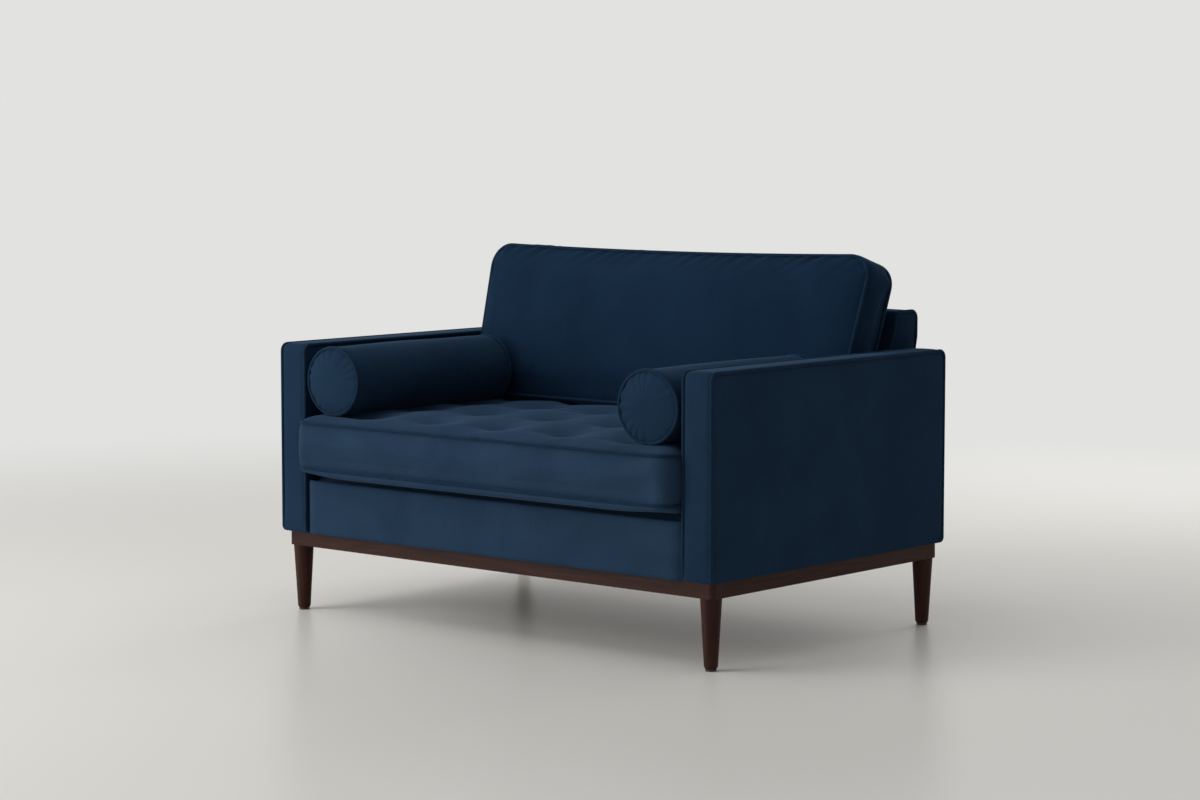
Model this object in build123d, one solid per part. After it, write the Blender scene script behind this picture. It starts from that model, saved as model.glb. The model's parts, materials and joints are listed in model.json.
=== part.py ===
"""Compact two-person sofa: box arms, loose cushions, bolsters and a wooden plinth on turned legs.

Sizes are in millimetres. +Z is up, the front faces -Y, and the origin lies on the floor
under the middle of the sofa.
"""
import os
from math import asin, atan, cos, hypot, sin

from build123d import *

# Overall sizes
width = 1300.0              # over the piping of both arms
body_depth = 855.0          # arm fronts to the rear face
seat_overhang = 45.0        # seat cushion ahead of the arm fronts
leg_height = 156.0          # floor to plinth, glide included
base_height = 34.0          # plinth rails
arm_rise = 445.0            # arm top above the plinth
back_rise = 533.0           # back rest top above the plinth

# Fits, sewn covers and piping
fit = 0.3                   # between nested pieces and under loose cushions
cover_t = 2.5               # velvet with its lining
seam_wall = 6.0             # cover with its seam allowances behind the piping
piping_r = 3.2
piping_proud = 1.6          # piping beyond the cover beside it
piping_gap = 0.4            # piping to the groove of its seam
piping_sink = piping_r - piping_proud

# Plinth and legs
base_side_inset = 8.0       # plinth behind the arm sides
base_end_inset = 16.0       # plinth behind the arm fronts and the rear face
base_rail_w = 45.0
base_corner_r = 12.0
corner_block_side = 60.0
corner_block_inset = 3.0    # corner block below and above the rail's faces
leg_inset = 24.0            # leg axis from the plinth's outer faces
leg_top_r = 23.5
leg_low_r = 15.0
leg_tip_r = 12.6
leg_tip_h = 5.0
glide_r = 12.0
glide_t = 5.0
glide_pin_r = 2.0
glide_pin_l = 15.0
stud_r = 4.0                # hanger bolt between leg and plinth
stud_in_leg = 45.0
stud_in_base = 24.0
insert_wall = 2.2
thread_gap = 0.1
screw_r = 2.5               # plinth to upholstered frame
screw_head_r = 5.0
screw_head_t = 3.0
screw_recess = 10.0
screw_bite = 32.0
screw_pitch_x = 400.0
screw_pitch_y = 270.0

# Arms
arm_width = 82.0
arm_corner = 18.0           # top corners in side view
arm_foot_r = 8.0            # lower outer edge
arm_side_pad = 6.0
arm_top_pad = 15.0
arm_front_pad = 12.0
arm_panel_t = 3.0
arm_post = 40.0
arm_top_rail = 35.0
arm_low_rail = 70.0
arm_bolt_r = 4.0
arm_bolt_head_r = 7.0
arm_bolt_head_t = 5.0
arm_bolt_rise = 38.0        # bolts above the plinth
arm_bolt_bite = 30.0
arm_bolt_pitch = 250.0

# Seat frame, springs and deck
panel_set_back = 1.0        # front panel behind the arm fronts
panel_pad = 10.0
panel_nose_r = 22.0
panel_top_depth = 62.0
panel_turn_under = 18.0
rail_t = 25.0
seat_rail_rise = 110.0      # rail tops above the plinth
cross_rail_w = 40.0
cross_rail_h = 50.0
spring_wire_r = 2.0
spring_count = 6
spring_pitch_x = 160.0
spring_run = 64.0
spring_runs = 15
spring_bend = 24.0
clip_w = 20.0
clip_d = 14.0
clip_t = 1.7
felt_t = 4.0
deck_pad_t = 18.0
dust_cover_t = 2.0

# Back rest
back_top_depth = 80.0       # rear face to the front edge of its top
back_foot_depth = 180.0     # rear face to the front of its foot
back_rear_r = 19.0
back_front_r = 12.0
back_post_w = 45.0
back_post_t = 40.0
back_post_inset = 22.0      # posts from the ends of the back rest
back_top_pad = 30.0
back_top_rail_h = 40.0
web_t = 2.3
web_w = 50.0
web_count = 4
web_pitch = 75.0
web_low = 60.0              # lowest strap above the deck

# Stuffed crowns: a flat middle up to the shoulder, then a round fall to the seam
shoulder = 0.7
shoulder_drop = 0.24
shoulder_bulge = 0.47
crown_margin = 8.0          # the crown runs this far past the seam before it is trimmed
crown_edge = 1.0

# Seat cushion
seat_side_gap = 1.5
seat_rear_gap = 6.0
seat_boxing = 129.0
seat_crown = 27.0
seat_front_r = 45.0
seat_rear_r = 15.0
zip_wall = 10.0
tuft_columns = 5
tuft_rows = 4
tuft_pitch_x = 200.0
tuft_pitch_y = 176.0
tuft_depth = 10.0
tuft_r = 100.0
tie_r = 1.5
tie_disc_r = 7.0
tie_disc_t = 2.0

# Back cushion
back_lean = 0.3             # run back per rise
back_cushion_step = 120.0   # foot of the cushion ahead of the foot of the back rest
back_cushion_top = 846.0    # front top seam above the floor
back_boxing = 96.0
back_crown = 38.0
back_side_gap = 3.0
back_corner_r = 40.0
back_foot_slope = 0.1
back_wall = 9.0
back_low_r = 8.0            # piping at the lower corners

# Zips
seat_zip_l = 900.0
back_zip_l = 800.0
zip_recess = 7.0
zip_slot_w = 26.0
zip_tape_w = 24.0
zip_tape_t = 1.0
zip_bead_w = 5.0
zip_bead_t = 2.5
slider_l = 12.0
slider_w = 9.0
slider_roof = 1.6
pull_l = 24.0
pull_w = 6.0
pull_t = 1.2
zip_end = 20.0              # slider from the end of its zip

# Bolsters
bolster_d = 166.0           # over the end piping
bolster_l = 520.0
bolster_set_back = 2.0      # front end behind the arm fronts
bolster_arm_gap = 4.5
bolster_barrel = 1.5
bolster_dome = 9.0
bolster_flat = 0.5          # flat below, inside the piping

# Levels and faces worked out from the sizes above
body_rear = (body_depth + seat_overhang) / 2
arm_front = body_rear - body_depth
seat_front = arm_front - seat_overhang
body_bottom = leg_height + base_height
arm_top = body_bottom + arm_rise
back_top = body_bottom + back_rise

base_x = width / 2 - base_side_inset
base_y0 = arm_front + base_end_inset
base_y1 = body_rear - base_end_inset

arm_inner = width / 2 - arm_width
arm_x0 = arm_inner + piping_proud
arm_x1 = width / 2 - piping_proud
arm_y0 = arm_front + piping_proud
arm_y1 = body_rear - piping_proud
arm_z1 = arm_top - piping_proud

panel_x = arm_inner - fit
panel_y = arm_front + panel_set_back
rail_y0 = panel_y + cover_t + panel_pad + 2 * fit
rail_z1 = body_bottom + seat_rail_rise
spring_top = rail_z1 + 2 * spring_wire_r
clip_top = spring_top + fit + clip_t
deck_top = spring_top + fit + felt_t + deck_pad_t + cover_t

back_x = arm_inner - fit - piping_proud
back_y1 = body_rear - piping_proud
back_z1 = back_top - piping_proud
back_top_y = body_rear - back_top_depth
back_foot_y = body_rear - back_foot_depth
back_foot_z = deck_top + fit
post_y1 = back_y1 - cover_t - fit
post_y0 = post_y1 - back_post_t
post_z1 = back_z1 - back_top_pad
rear_rail_y0 = post_y0 - rail_t
rest_slope = (back_top_y - back_foot_y) / (back_z1 - back_foot_z)

seat_x = arm_inner - seat_side_gap - piping_proud
seat_y0 = seat_front + piping_proud
seat_y1 = back_foot_y - seat_rear_gap - piping_proud
seat_z0 = deck_top + fit
seat_z1 = seat_z0 + seat_boxing
seat_mid = (seat_y0 + seat_y1) / 2
seat_reach = (seat_y1 - seat_y0) / 2 + crown_margin

os.makedirs("parts", exist_ok=True)


def block(x0, x1, y0, y1, z0, z1):
    """A box between two opposite corners."""
    middle = Pos((x0 + x1) / 2, (y0 + y1) / 2, (z0 + z1) / 2)
    return middle * Box(x1 - x0, y1 - y0, z1 - z0)


def rod(origin, direction, radius, length):
    """A round bar from a point along a direction."""
    return extrude(Plane(origin=origin, z_dir=direction) * Circle(radius), length)


def slab(points, radii, x0, x1):
    """A side-view outline of (y, z) points with rounded corners, run from x0 to x1."""
    outline = make_face(FilletPolyline(*points, radius=radii, close=True))
    return extrude(Plane.YZ.offset(x0) * outline, x1 - x0)


def tube(path, radius):
    """A round cord along a path."""
    return sweep(Plane(origin=path @ 0, z_dir=path % 0) * Circle(radius), path=path)


def mirrored(shape):
    """The same piece on the other side of the sofa."""
    return mirror(shape, about=Plane.YZ)


def group(shapes):
    """Separate solids kept together as one named piece."""
    return Compound([solid for shape in shapes for solid in shape.solids()])


def save(name, shape):
    """Write one named piece."""
    export_step(shape, f"parts/{name}.step")


def save_pair(name, shape):
    """Write a right-hand piece and its left-hand mirror image."""
    save(f"right_{name}", shape)
    save(f"left_{name}", mirrored(shape))


def spread(count, pitch):
    """Places on a line, evenly spaced about its middle."""
    return [(i - (count - 1) / 2) * pitch for i in range(count)]


def fullness(q):
    """Height of a stuffed crown: 1 in the middle (q = 0), 0 at the seams (q = 1 or -1)."""
    q = abs(q)
    if q <= shoulder:
        return 1 - shoulder_drop * (q / shoulder) ** 2
    s = (q - shoulder) / (1 - shoulder)
    return (1 - shoulder_drop) * (1 - s) * (1 + shoulder_bulge * s)


def crown_arcs(point):
    """The three arcs of a stuffed crown, seam to seam, through point(q)."""
    fall = (1 + shoulder) / 2
    return [
        ThreePointArc(point(1), point(fall), point(shoulder)),
        ThreePointArc(point(shoulder), point(0), point(-shoulder)),
        ThreePointArc(point(-shoulder), point(-fall), point(-1)),
    ]


def crown_stations(half):
    """Where the sections of a crown stand across the sofa: (x, crown share)."""
    shares = (-1, -(1 + shoulder) / 2, -0.5, 0, 0.5, (1 + shoulder) / 2, 1)
    return [(q * (half + crown_margin), fullness(q)) for q in shares]


def cushion_outline(half, low, high, low_r, high_r):
    """A cushion's sewn outline with rounded corners."""
    corners = [(-half, low), (half, low), (half, high), (-half, high)]
    radii = (low_r, low_r, high_r, high_r)
    return make_face(FilletPolyline(*corners, radius=radii, close=True))


def loop(plane, outline, radius):
    """Piping round a cushion's outline, laid in a plane."""
    return tube((plane * outline).face().outer_wire(), radius)


def build_base():
    """Plinth rails, corner blocks and the screws that hold the upholstered frame on them."""
    inner_x = base_x - base_rail_w
    inner_y0 = base_y0 + base_rail_w
    inner_y1 = base_y1 - base_rail_w
    z0 = leg_height
    front = block(-base_x, base_x, base_y0, inner_y0, z0, body_bottom)
    front = fillet(front.edges().filter_by(Axis.Z).group_by(Axis.Y)[0], base_corner_r)
    rear = block(-base_x, base_x, inner_y1, base_y1, z0, body_bottom)
    rear = fillet(rear.edges().filter_by(Axis.Z).group_by(Axis.Y)[-1], base_corner_r)
    side = block(inner_x, base_x, inner_y0, inner_y1, z0, body_bottom)

    recesses = [rod((x, y, z0), (0, 0, 1), screw_head_r + 2 * fit, screw_recess + screw_head_t)
                for x, y in screw_places]
    front = front - recesses - screw_holes - insert_holes
    rear = rear - recesses - screw_holes - insert_holes
    side = side - recesses - screw_holes
    save("base_front_rail", front)
    save("base_rear_rail", rear)
    save("base_right_rail", side)
    save("base_left_rail", mirrored(side))

    blocks = []
    top = body_bottom - dust_cover_t - corner_block_inset
    for sx in (-1, 1):
        for y, sy in ((inner_y0, 1), (inner_y1, -1)):
            corner = Polyline((sx * inner_x, y), (sx * (inner_x - corner_block_side), y),
                              (sx * inner_x, y + sy * corner_block_side), close=True)
            floor = Pos(0, 0, leg_height + corner_block_inset)
            blocks.append(extrude(floor * make_face(corner), top - leg_height - corner_block_inset))
    save("base_corner_blocks", group(blocks))

    screws = []
    for x, y in screw_places:
        head_z = z0 + screw_recess
        head = rod((x, y, head_z), (0, 0, 1), screw_head_r, screw_head_t)
        shank = rod((x, y, head_z), (0, 0, 1), screw_r, body_bottom + screw_bite - head_z)
        screws.append(head + shank)
    save("base_screws", group(screws))


def build_legs():
    """Four turned legs with their hanger bolts, threaded inserts and glides."""
    profile = Polyline((0, glide_t), (leg_tip_r, glide_t), (leg_low_r, glide_t + leg_tip_h),
                       (leg_top_r, leg_height), (0, leg_height), close=True)
    leg = revolve(Plane.XZ * make_face(profile), Axis.Z)
    leg -= rod((0, 0, leg_height), (0, 0, -1), stud_r + thread_gap, stud_in_leg + fit)
    leg -= rod((0, 0, glide_t), (0, 0, 1), glide_pin_r + thread_gap, glide_pin_l + fit)
    stud = rod((0, 0, leg_height - stud_in_leg), (0, 0, 1), stud_r, stud_in_leg + stud_in_base)
    sleeve = Circle(stud_r + thread_gap + insert_wall) - Circle(stud_r + thread_gap)
    insert = extrude(Pos(0, 0, leg_height) * sleeve, stud_in_base)
    glide = rod((0, 0, 0), (0, 0, 1), glide_r, glide_t)
    glide += rod((0, 0, 0), (0, 0, 1), glide_pin_r, glide_t + glide_pin_l)

    for name, (x, y) in leg_places.items():
        save(f"{name}_leg", Pos(x, y, 0) * leg)
    spots = [Pos(x, y, 0) for x, y in leg_places.values()]
    save("leg_hanger_bolts", group([spot * stud for spot in spots]))
    save("leg_threaded_inserts", group([spot * insert for spot in spots]))
    save("leg_glides", group([spot * glide for spot in spots]))


def build_seat_frame():
    """Timber rails under the seat, the front panel with its padding, and the dust cover."""
    front_z0 = body_bottom + cover_t
    front = block(-arm_x0, arm_x0, rail_y0, rail_y0 + rail_t, front_z0, rail_z1)
    rear = block(-arm_x0, arm_x0, rear_rail_y0, post_y0, body_bottom, rail_z1)
    side = block(arm_x0 - rail_t, arm_x0, rail_y0 + rail_t, rear_rail_y0, body_bottom, rail_z1)
    cross = block(-cross_rail_w / 2, cross_rail_w / 2, rail_y0 + rail_t, rear_rail_y0,
                  body_bottom, body_bottom + cross_rail_h)
    side = side - bolt_holes
    save("seat_front_rail", front - screw_holes)
    save("seat_rear_rail", rear - screw_holes)
    save("seat_side_rails", group([side, mirrored(side)]))
    save("seat_cross_rail", cross)

    inside = panel_y + cover_t
    panel = slab(
        [(panel_y, body_bottom), (panel_y, deck_top), (panel_y + panel_top_depth, deck_top),
         (panel_y + panel_top_depth, deck_top - cover_t), (inside, deck_top - cover_t),
         (inside, front_z0), (panel_y + panel_turn_under, front_z0),
         (panel_y + panel_turn_under, body_bottom)],
        [0, panel_nose_r, 0, 0, panel_nose_r - cover_t, 0, 0, 0], -panel_x, panel_x)
    save("front_panel_cover", panel)

    pad_y = inside + fit
    pad_z1 = deck_top - cover_t - fit
    padding = slab(
        [(pad_y, front_z0 + fit), (pad_y, pad_z1), (panel_y + panel_top_depth, pad_z1),
         (panel_y + panel_top_depth, clip_top + fit), (rail_y0 - fit, clip_top + fit),
         (rail_y0 - fit, front_z0 + fit)],
        [0, panel_nose_r - cover_t - fit, 0, 0, 0, 0], -panel_x + fit, panel_x - fit)
    save("front_panel_padding", padding)

    edge = base_rail_w + fit
    save("dust_cover", block(-base_x + edge, base_x - edge, base_y0 + edge, base_y1 - edge,
                             body_bottom - dust_cover_t, body_bottom))


def build_deck():
    """Zigzag springs in their clips, then felt, pad and cloth of the seat deck."""
    y0 = rail_y0 + rail_t / 2
    y1 = post_y0 - rail_t / 2
    pitch = (y1 - y0) / (spring_runs - 1)
    z = rail_z1 + spring_wire_r
    points = []
    for i in range(spring_runs):
        ends = (-spring_run / 2, spring_run / 2)
        for x in ends if i % 2 == 0 else reversed(ends):
            points.append((x, y0 + i * pitch, z))
    spring = tube(FilletPolyline(*points, radius=spring_bend), spring_wire_r)
    columns = spread(spring_count, spring_pitch_x)
    save("seat_springs", group([Pos(x, 0, 0) * spring for x in columns]))

    slot = spring_wire_r + fit
    clips = []
    for x in columns:
        for y in (y0, y1):
            clip = block(x - clip_w / 2, x + clip_w / 2, y - clip_d / 2, y + clip_d / 2,
                         rail_z1, clip_top)
            clips.append(clip - block(x - clip_w, x + clip_w, y - slot, y + slot,
                                      rail_z1, spring_top + fit))
    save("spring_clips", group(clips))

    front = panel_y + panel_top_depth + fit
    rear = rear_rail_y0 - fit
    felt_z = spring_top + fit
    pad_z = felt_z + felt_t
    cloth_z = pad_z + deck_pad_t
    save("spring_felt", block(-panel_x, panel_x, front, rear, felt_z, pad_z))
    save("deck_pad", block(-panel_x, panel_x, front, rear, pad_z, cloth_z))
    save("deck_cover", block(-panel_x, panel_x, front, rear, cloth_z, deck_top))


def arm_block(side, face):
    """The right arm's outline, taken in by one amount at its sides and another elsewhere."""
    y0 = arm_y0 + face
    y1 = arm_y1 - face
    z0 = body_bottom + face
    z1 = arm_z1 - face
    return slab([(y0, z0), (y0, z1), (y1, z1), (y1, z0)],
                [0, arm_corner - face, arm_corner - face, 0], arm_x0 + side, arm_x1 - side)


def arm_piping(radius):
    """Both piped seams of the right arm: up the front, over the top and down the rear."""
    y0 = arm_y0 + piping_sink
    y1 = arm_y1 - piping_sink
    z1 = arm_z1 - piping_sink
    path = FilletPolyline((y0, body_bottom), (y0, z1), (y1, z1), (y1, body_bottom),
                          radius=arm_corner - piping_sink)
    return [tube(Plane.YZ.offset(x) * path, radius)
            for x in (arm_x0 + piping_sink, arm_x1 - piping_sink)]


def build_arms():
    """Each arm: timber frame, hardboard panels, foam wrap, velvet cover and piping."""
    cover = arm_block(0, 0)
    foot = cover.edges().filter_by(Axis.Y).group_by(Axis.Z)[0].sort_by(Axis.X)[-1]
    cover = fillet(foot, arm_foot_r)
    cover = cover - arm_block(seam_wall, cover_t) - arm_piping(piping_r + piping_gap)
    cover = cover - bolt_holes - screw_holes
    save_pair("arm_cover", cover)
    save_pair("arm_piping", group(arm_piping(piping_r)))

    foam_side = seam_wall + fit
    foam_face = cover_t + fit
    x0 = arm_x0 + foam_side + arm_side_pad
    x1 = arm_x1 - foam_side - arm_side_pad
    y0 = arm_y0 + foam_face + arm_front_pad
    y1 = arm_y1 - foam_face - arm_side_pad
    z1 = arm_z1 - foam_face - arm_top_pad
    foam = arm_block(foam_side, foam_face) - block(x0, x1, y0, y1, body_bottom, z1) - bolt_holes
    save_pair("arm_foam", foam)

    x0, x1, y0, y1, z1 = x0 + fit, x1 - fit, y0 + fit, y1 - fit, z1 - fit
    z0 = body_bottom + cover_t + fit
    panels = [block(x0, x0 + arm_panel_t, y0, y1, z0, z1) - bolt_holes,
              block(x1 - arm_panel_t, x1, y0, y1, z0, z1)]
    save_pair("arm_panels", group(panels))

    x0, x1 = x0 + arm_panel_t, x1 - arm_panel_t
    timbers = [
        block(x0, x1, y0, y0 + arm_post, z0, z1),
        block(x0, x1, y1 - arm_post, y1, z0, z1),
        block(x0, x1, y0 + arm_post, y1 - arm_post, z1 - arm_top_rail, z1),
        block(x0, x1, y0 + arm_post, y1 - arm_post, z0, z0 + arm_low_rail) - bolt_holes - screw_holes,
    ]
    save_pair("arm_frame", group(timbers))

    bolts = []
    for origin in bolt_places:
        head = rod(origin, (-1, 0, 0), arm_bolt_head_r, arm_bolt_head_t)
        bolts.append(head + rod(origin, (1, 0, 0), arm_bolt_r, bolt_length))
    save("arm_bolts", group(bolts + [mirrored(bolt) for bolt in bolts]))


def rest_points(face, low):
    """Side-view corners of the back rest, taken in by face, with its lower part cut back to low."""
    lean = face * hypot(1, rest_slope)
    foot_z = back_foot_z + face
    return [
        (back_y1 - face, body_bottom - face),
        (back_y1 - face, back_z1 - face),
        (back_top_y + lean - face * rest_slope, back_z1 - face),
        (back_foot_y + lean + face * rest_slope, foot_z),
        (low, foot_z),
        (low, body_bottom - face),
    ]


def rest_piping(radius):
    """Both piped end seams of the back rest: up its front, over the top and down the rear."""
    rear, top, front, foot = rest_points(piping_sink, post_y0)[:4]
    path = FilletPolyline(foot, front, top, (rear[0], body_bottom),
                          radius=(back_front_r - piping_sink, back_rear_r - piping_sink))
    x = back_x - piping_sink
    return [tube(Plane.YZ.offset(side * x) * path, radius) for side in (-1, 1)]


def build_back_rest():
    """Back rest: posts, top rail, webbing, foam wedge, cover and piping."""
    radii = [0, back_rear_r, back_front_r, 0, 0, 0]
    inner_radii = [0, back_rear_r - cover_t, back_front_r - cover_t, 0, 0, 0]
    cover = slab(rest_points(0, post_y0), radii, -back_x, back_x)
    hollow = slab(rest_points(cover_t, post_y0 - rail_t), inner_radii,
                  -back_x + seam_wall, back_x - seam_wall)
    save("back_cover", cover - hollow - rest_piping(piping_r + piping_gap))
    save("back_piping", group(rest_piping(piping_r)))

    foam_face = cover_t + fit
    web_y0 = post_y0 - web_t
    foam_x = back_x - seam_wall - fit
    foam = slab(rest_points(foam_face, post_y0), inner_radii, -foam_x, foam_x)
    foam -= block(-width, width, web_y0 - fit, body_rear, 0, post_z1 + fit)
    save("back_foam", foam)

    post_x = back_x - back_post_inset
    post = block(post_x - back_post_w, post_x, post_y0, post_y1, body_bottom, post_z1)
    rail = block(back_post_w - post_x, post_x - back_post_w, post_y0, post_y1,
                 post_z1 - back_top_rail_h, post_z1)
    straps = []
    for i in range(web_count):
        z = deck_top + web_low + i * web_pitch
        straps.append(block(-post_x, post_x, web_y0, post_y0, z, z + web_w))
    save("back_posts", group([post, mirrored(post)]))
    save("back_top_rail", rail)
    save("back_webbing", group(straps))


def zip_chain(plane, length):
    """A zip's tape with its row of teeth, at the bottom of its slot below the plane."""
    tape = Pos(0, 0, zip_tape_t / 2 - zip_recess) * Box(length, zip_tape_w, zip_tape_t)
    bead_z = zip_tape_t - zip_recess + zip_bead_t / 2
    return plane.location * (tape + Pos(0, 0, bead_z) * Box(length, zip_bead_w, zip_bead_t))


def zip_slot(plane, length):
    """The slot that hides a zip in its cover."""
    middle = Pos(0, 0, -zip_recess / 2)
    return plane.location * middle * Box(length + 2 * fit, zip_slot_w, zip_recess)


def zip_slider(plane, length):
    """A slider that straddles the teeth at the closed end, with its pull along the zip."""
    x = length / 2 - zip_end
    z0 = zip_tape_t + fit - zip_recess
    channel_h = zip_bead_t
    height = channel_h + slider_roof
    body = Pos(x, 0, z0 + height / 2) * Box(slider_l, slider_w, height)
    body -= Pos(x, 0, z0 + channel_h / 2) * Box(slider_l, zip_bead_w + 2 * fit, channel_h)
    pull_x = x - (slider_l + pull_l) / 2
    body += Pos(pull_x, 0, z0 + height - pull_t / 2) * Box(pull_l, pull_w, pull_t)
    return plane.location * body


def seat_top(x, y):
    """Height of the seat cushion's top before its tufts are sewn."""
    across = fullness(x / (seat_x + crown_margin))
    share = fullness(min(1, (y - seat_mid) / seat_reach))
    return seat_z1 + (crown_edge + (seat_crown - crown_edge) * across) * share


def seat_form(side, face, rear):
    """The seat cushion's stuffed form, taken in at its sides, its top and bottom, and its rear."""
    sections = []
    for x, share in crown_stations(seat_x - side):
        crown = crown_edge + (seat_crown - crown_edge) * share

        def top(q):
            return seat_mid + q * seat_reach, seat_z1 - face + crown * fullness(q)

        low = seat_z0 + face
        y0, y1 = top(-1)[0], top(1)[0]
        outline = [Line((y0, low), (y1, low)), Line((y1, low), top(1)), Line(top(-1), (y0, low))]
        sections.append(Plane.YZ.offset(x) * make_face(outline + crown_arcs(top)))
    plan = cushion_outline(seat_x - side, seat_y0 + side, seat_y1 - rear,
                           seat_front_r - side, seat_rear_r - side)
    dimples = [Pos(x, y, seat_top(x, y) - tuft_depth + tuft_r) * Sphere(tuft_r + face)
               for x, y in tuft_places]
    trim = extrude(Pos(0, 0, seat_z0) * plan, seat_boxing + 2 * seat_crown)
    return (loft(sections) & trim) - dimples


def seat_piping(radius):
    """Piping round the top and bottom seams of the seat cushion."""
    plan = cushion_outline(seat_x - piping_sink, seat_y0 + piping_sink, seat_y1 - piping_sink,
                           seat_front_r - piping_sink, seat_rear_r - piping_sink)
    return [loop(Plane.XY.offset(z), plan, radius)
            for z in (seat_z0 + cover_t + piping_r, seat_z1 - piping_sink)]


def build_seat_cushion():
    """Seat cushion: core, cover, piping, tuft ties and the zip in its rear boxing."""
    rear_face = Plane(origin=(0, seat_y1, seat_z0 + seat_boxing / 2), x_dir=(1, 0, 0),
                      z_dir=(0, 1, 0))
    cover = seat_form(0, 0, 0) - seat_form(seam_wall, cover_t, zip_wall)
    cover = cover - seat_piping(piping_r + piping_gap) - zip_slot(rear_face, seat_zip_l)
    save("seat_cushion_cover", cover)
    save("seat_cushion_piping", group(seat_piping(piping_r)))
    save("seat_cushion_zip", zip_chain(rear_face, seat_zip_l))
    save("seat_zip_slider", zip_slider(rear_face, seat_zip_l))

    core = seat_form(seam_wall + fit, cover_t + fit, zip_wall + fit)
    low = seat_z0 + cover_t + fit
    ties = []
    cuts = []
    up = (0, 0, 1)
    for x, y in tuft_places:
        high = seat_top(x, y) - tuft_depth - cover_t - fit
        tie = rod((x, y, low), up, tie_r, high - low)
        tie += rod((x, y, low), up, tie_disc_r, tie_disc_t)
        tie += rod((x, y, high - tie_disc_t), up, tie_disc_r, tie_disc_t)
        ties.append(tie)
        cuts.append(rod((x, y, low), up, tie_r + fit, high - low))
        cuts.append(rod((x, y, low), up, tie_disc_r + fit, tie_disc_t))
        cuts.append(rod((x, y, high - tie_disc_t), up, tie_disc_r + fit, tie_disc_t + tuft_depth))
    save("seat_cushion_core", core - cuts)
    save("seat_tuft_ties", group(ties))


def build_back_cushion():
    """Back cushion: leans on the back rest and stands on the seat cushion."""
    lean = atan(back_lean)
    foot_y = back_foot_y - back_cushion_step
    half = arm_inner - back_side_gap - piping_proud
    foot_run = [foot_y + i * back_boxing / 20 for i in range(21)]
    foot_z = fit + max(seat_top(0, y) + back_foot_slope * (y - foot_y) for y in foot_run)
    height = (back_cushion_top - foot_z) / cos(lean)
    rear_low = back_boxing * (sin(lean) - back_foot_slope * cos(lean)) / (
        cos(lean) + back_foot_slope * sin(lean))

    def at(u, t):
        """The (y, z) point u up the lean and t behind the front seams."""
        return (foot_y + u * sin(lean) + t * cos(lean), foot_z + u * cos(lean) - t * sin(lean))

    def rear_u(q, low):
        """How far up the lean the rear crown's share q lies."""
        start = rear_low + low
        end = height + crown_margin
        return (start + end) / 2 + q * (end - start) / 2

    def room(q):
        """Rear crown that would just reach the back rest at share q."""
        y, z = at(rear_u(q, 0), back_boxing)
        rest_y = back_foot_y + rest_slope * (z - back_foot_z)
        reach = (cos(lean) + rest_slope * sin(lean)) / hypot(1, rest_slope)
        return ((rest_y - y) / hypot(1, rest_slope) - fit) / (reach * fullness(q))

    rear_crown = min(room(i / 20) for i in range(-16, 17))

    def form(side, face, foot):
        """The cushion's stuffed form, taken in at its boxing, its two faces and its foot."""
        sections = []
        top = height + crown_margin
        for x, share in crown_stations(half - side):
            front_c = crown_edge + (back_crown - crown_edge) * share
            rear_c = crown_edge + (rear_crown - crown_edge) * share

            def front(q):
                return at((foot + top) / 2 + q * (top - foot) / 2, face - front_c * fullness(q))

            def rear(q):
                return at(rear_u(q, foot), back_boxing - face + rear_c * fullness(q))

            outline = [Line(front(1), rear(1)), Line(rear(-1), front(-1))]
            sections.append(Plane.YZ.offset(x) * make_face(
                outline + crown_arcs(front) + crown_arcs(rear)))
        shape = cushion_outline(half - side, -back_boxing, height - side, back_low_r,
                                back_corner_r - side)
        trim = extrude(front_face * shape, 2 * back_boxing, both=True)
        return loft(sections) & trim

    def piping(radius):
        """Piping round the front and rear seams."""
        loops = []
        for t, low in ((piping_sink, 0), (back_boxing - piping_sink, rear_low)):
            shape = cushion_outline(half - piping_sink, low + 2 * piping_r, height - piping_sink,
                                    back_low_r, back_corner_r - piping_sink)
            loops.append(loop(front_face.offset(-t), shape, radius))
        return loops

    front_face = Plane(origin=(0, *at(0, 0)), x_dir=(1, 0, 0), z_dir=(0, -cos(lean), sin(lean)))
    foot_mid = [(a + b) / 2 for a, b in zip(at(0, 0), at(rear_low, back_boxing))]
    foot_face = Plane(origin=(0, *foot_mid), x_dir=(1, 0, 0), z_dir=(0, -back_foot_slope, -1))
    cover = form(0, 0, 0) - form(back_wall, cover_t, zip_wall)
    cover = cover - piping(piping_r + piping_gap) - zip_slot(foot_face, back_zip_l)
    save("back_cushion_cover", cover)
    save("back_cushion_core", form(back_wall + fit, cover_t + fit, zip_wall + fit))
    save("back_cushion_piping", group(piping(piping_r)))
    save("back_cushion_zip", zip_chain(foot_face, back_zip_l))
    save("back_zip_slider", zip_slider(foot_face, back_zip_l))


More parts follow.
